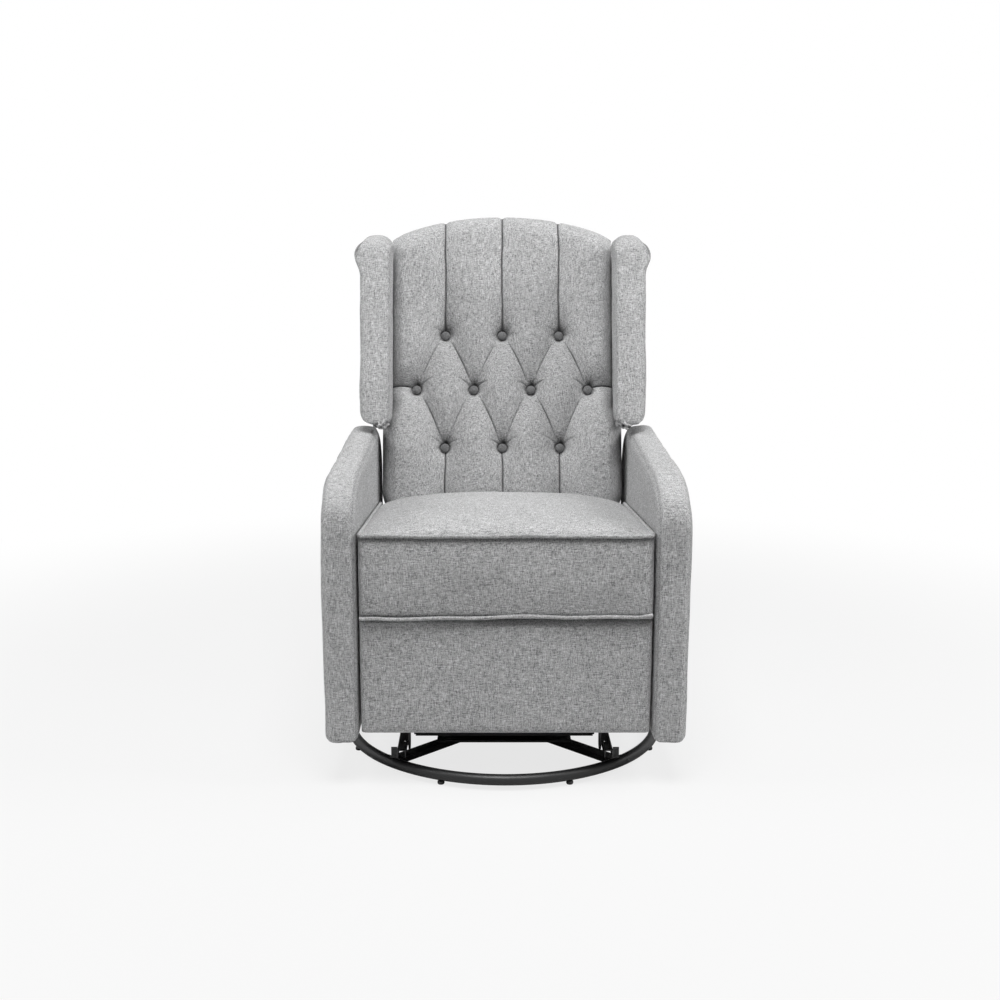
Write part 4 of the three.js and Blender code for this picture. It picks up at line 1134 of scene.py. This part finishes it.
def padded_arm(hand, side):
    piece = wrapped_copy(f"padded_arm_{hand}", f"arm_{hand}", "carriage", 0.8, arm_voxel)
    points, normals = read_vertices(piece.data), read_vertices(piece.data, "normal")
    low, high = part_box(f"arm_{hand}")
    middle, half = (low.x + high.x) / 2, (high.x - low.x) / 2
    outward = (points[:, 0] - low.x - half) * side > 0
    flat = np.abs(normals[:, 0])
    seam = groove(flat - 0.74, 0.2) * (points[:, 2] > low.z + arm_hem)
    band = 1 - smooth(0.3, 0.9, flat)
    loose = 0.0014 * ripple(points, 0.15, 31)
    loose = loose + 0.0005 * ripple(points, 0.05, 32, stretch=(1.0, 1.0, 0.5))
    room = np.where(outward, 1.0, 0.4)
    move = (arm_puff * band + loose) * room - arm_seam_sink * seam
    move = move + arm_side_puff * smooth(0.8, 1.0, flat) * outward
    across = (points[:, 0] - middle) / half
    stuffed = arm_crown * np.clip(1 - across ** 2, 0, 1) * smooth(0.2, 0.8, normals[:, 2])
    points[:, 2] += stuffed * smooth(-0.25, 0.0, points[:, 1])
    # The last argument is painted shade along the side seams.
    fit_cover(piece, points + normals * move[:, None], 0.3 * seam ** 2)


wing_voxel = 0.005
wing_radius = 0.022
wing_face = -0.108
wing_face_draw = 0.0065
wing_bulge = 0.013
wing_shoulder = 0.005
wing_foot_taper = 0.004
wing_foot_height = 0.03
wing_crumple = 0.0034
wing_top_places = (-0.108, -0.09, -0.06, 0.148)
wing_top_rises = (0.597, 0.611, 0.625, 0.632)


def fuller(a, b):
    """Draws a round edge out towards a square one; a and b run from 0 inside to 1 on either face."""
    a, b = np.clip(a, 0, 1), np.clip(b, 0, 1)
    reach = np.hypot(a, b)
    grown = reach / np.maximum((a ** 7 + b ** 7) ** (1 / 7), 1e-6)
    return a * (grown - 1), b * (grown - 1)


def padded_wing(hand, side):
    piece = wrapped_copy(f"padded_wing_{hand}", f"wing_{hand}", "back", 0.8, wing_voxel)
    points, normals = read_vertices(piece.data), read_vertices(piece.data, "normal")
    low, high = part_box(f"wing_{hand}")
    inner, outer = sorted((abs(low.x), abs(high.x)))
    local = put(points, back_place.inverted())
    across, ahead, rise = local[:, 0] * side, local[:, 1], local[:, 2]
    above_foot = points[:, 2] - low.z
    to_front = 1 - (ahead - wing_face) / wing_radius
    to_inner = 1 - (across - inner) / wing_radius
    to_outer = 1 - (outer - across) / wing_radius
    in_across, in_forward = fuller(to_inner, to_front)
    out_across, out_forward = fuller(to_outer, to_front)
    low_across, downward = fuller(to_inner, 1 - above_foot / wing_radius)
    downward = 0.5 * downward * smooth(-0.1, -0.075, ahead)
    below_top = np.interp(ahead, wing_top_places, wing_top_rises) - rise
    front = smooth(0.03, -0.03, ahead)
    inside, outside = smooth(0.31, 0.265, across), smooth(0.285, 0.325, across)
    bulge = wing_bulge * groove(below_top - 0.042, 0.026) * outside * smooth(0.1, -0.03, ahead)
    shoulder = wing_shoulder * groove(below_top - 0.017, 0.014) * inside * front
    taper = (back_half_at(rise) - back_half) * inside * smooth(-0.03, 0.01, ahead)
    taper = taper - wing_foot_taper * smooth(wing_foot_height, 0.0, above_foot) * outside
    across = across + wing_radius * (out_across - np.maximum(in_across, low_across))
    across = across + bulge - shoulder + taper - wing_face_draw * front
    ahead = ahead - wing_radius * np.maximum(in_forward, out_forward)
    points = put(np.stack([across * side, ahead, rise], 1), back_place)
    points[:, 2] -= wing_radius * downward
    outward = normals[:, 0] * side > 0
    seam = groove(np.abs(normals[:, 0]) - 0.74, 0.16)
    rim = seam * outward * smooth(high.z - 0.055, high.z - 0.03, points[:, 2])
    loose = 0.0013 * ripple(points, 0.13, 41) + 0.0005 * ripple(points, 0.045, 42)
    foot = np.clip(1 - above_foot / wing_foot_height, 0, 1) * between(0.3, 1.0, inside)
    crumple = ripple(points, 0.018, 43, count=9) * foot ** 1.2
    move = loose * (1 - foot) - 0.001 * seam - 0.0012 * rim + wing_crumple * crumple
    # Painted shade along the side seams, deeper in the seam round the top, and in the hollows of the
    # crumpled foot.
    crease = np.maximum(0.22 * seam ** 2, 0.8 * rim) + 0.6 * np.clip(-crumple, 0, 1)
    fit_cover(piece, points + normals * move[:, None], crease)


hem_place = np.array((0.275, 0.09, 0.6545))
hem_size = np.array((0.0185, 0.034, 0.0135))
hem_fold = 0.0125


def gathered_hem(hand, side):
    """The loose end of the wing's cover, gathered and tucked in between the wing and the back."""
    bm = bmesh.new()
    bmesh.ops.create_icosphere(bm, subdivisions=5, radius=1.0)
    piece = cloth_piece(f"gathered_hem_{hand}", bm, "back", 0.2)
    spread = read_vertices(piece.data) * hem_size
    crush = ripple(spread, hem_fold, 61 + side, count=9, stretch=(1.0, 0.4, 1.2))
    points = (spread * (1 + 0.2 * crush[:, None]) + hem_place) * (side, 1, 1)
    # Painted shade in the hollows of the gathered folds.
    write_points(piece.data, points, 0.85 * smooth(0.1, -0.7, crush))
    if side < 0:
        piece.data.flip_normals()


for hand, side in (("left", -1), ("right", 1)):
    padded_arm(hand, side)
    padded_wing(hand, side)
    gathered_hem(hand, side)

cover_voxel = 0.007


def plain_cover(name, node, body, seed):
    piece = wrapped_copy(name, node, body, 0.7, cover_voxel)
    points, normals = read_vertices(piece.data), read_vertices(piece.data, "normal")
    move = 0.0012 * ripple(points, 0.18, seed)
    fit_cover(piece, points + normals * move[:, None])


plain_cover("outside_back", "back_frame", "back", 51)
plain_cover("rear_cover", "rear_panel", "carriage", 52)
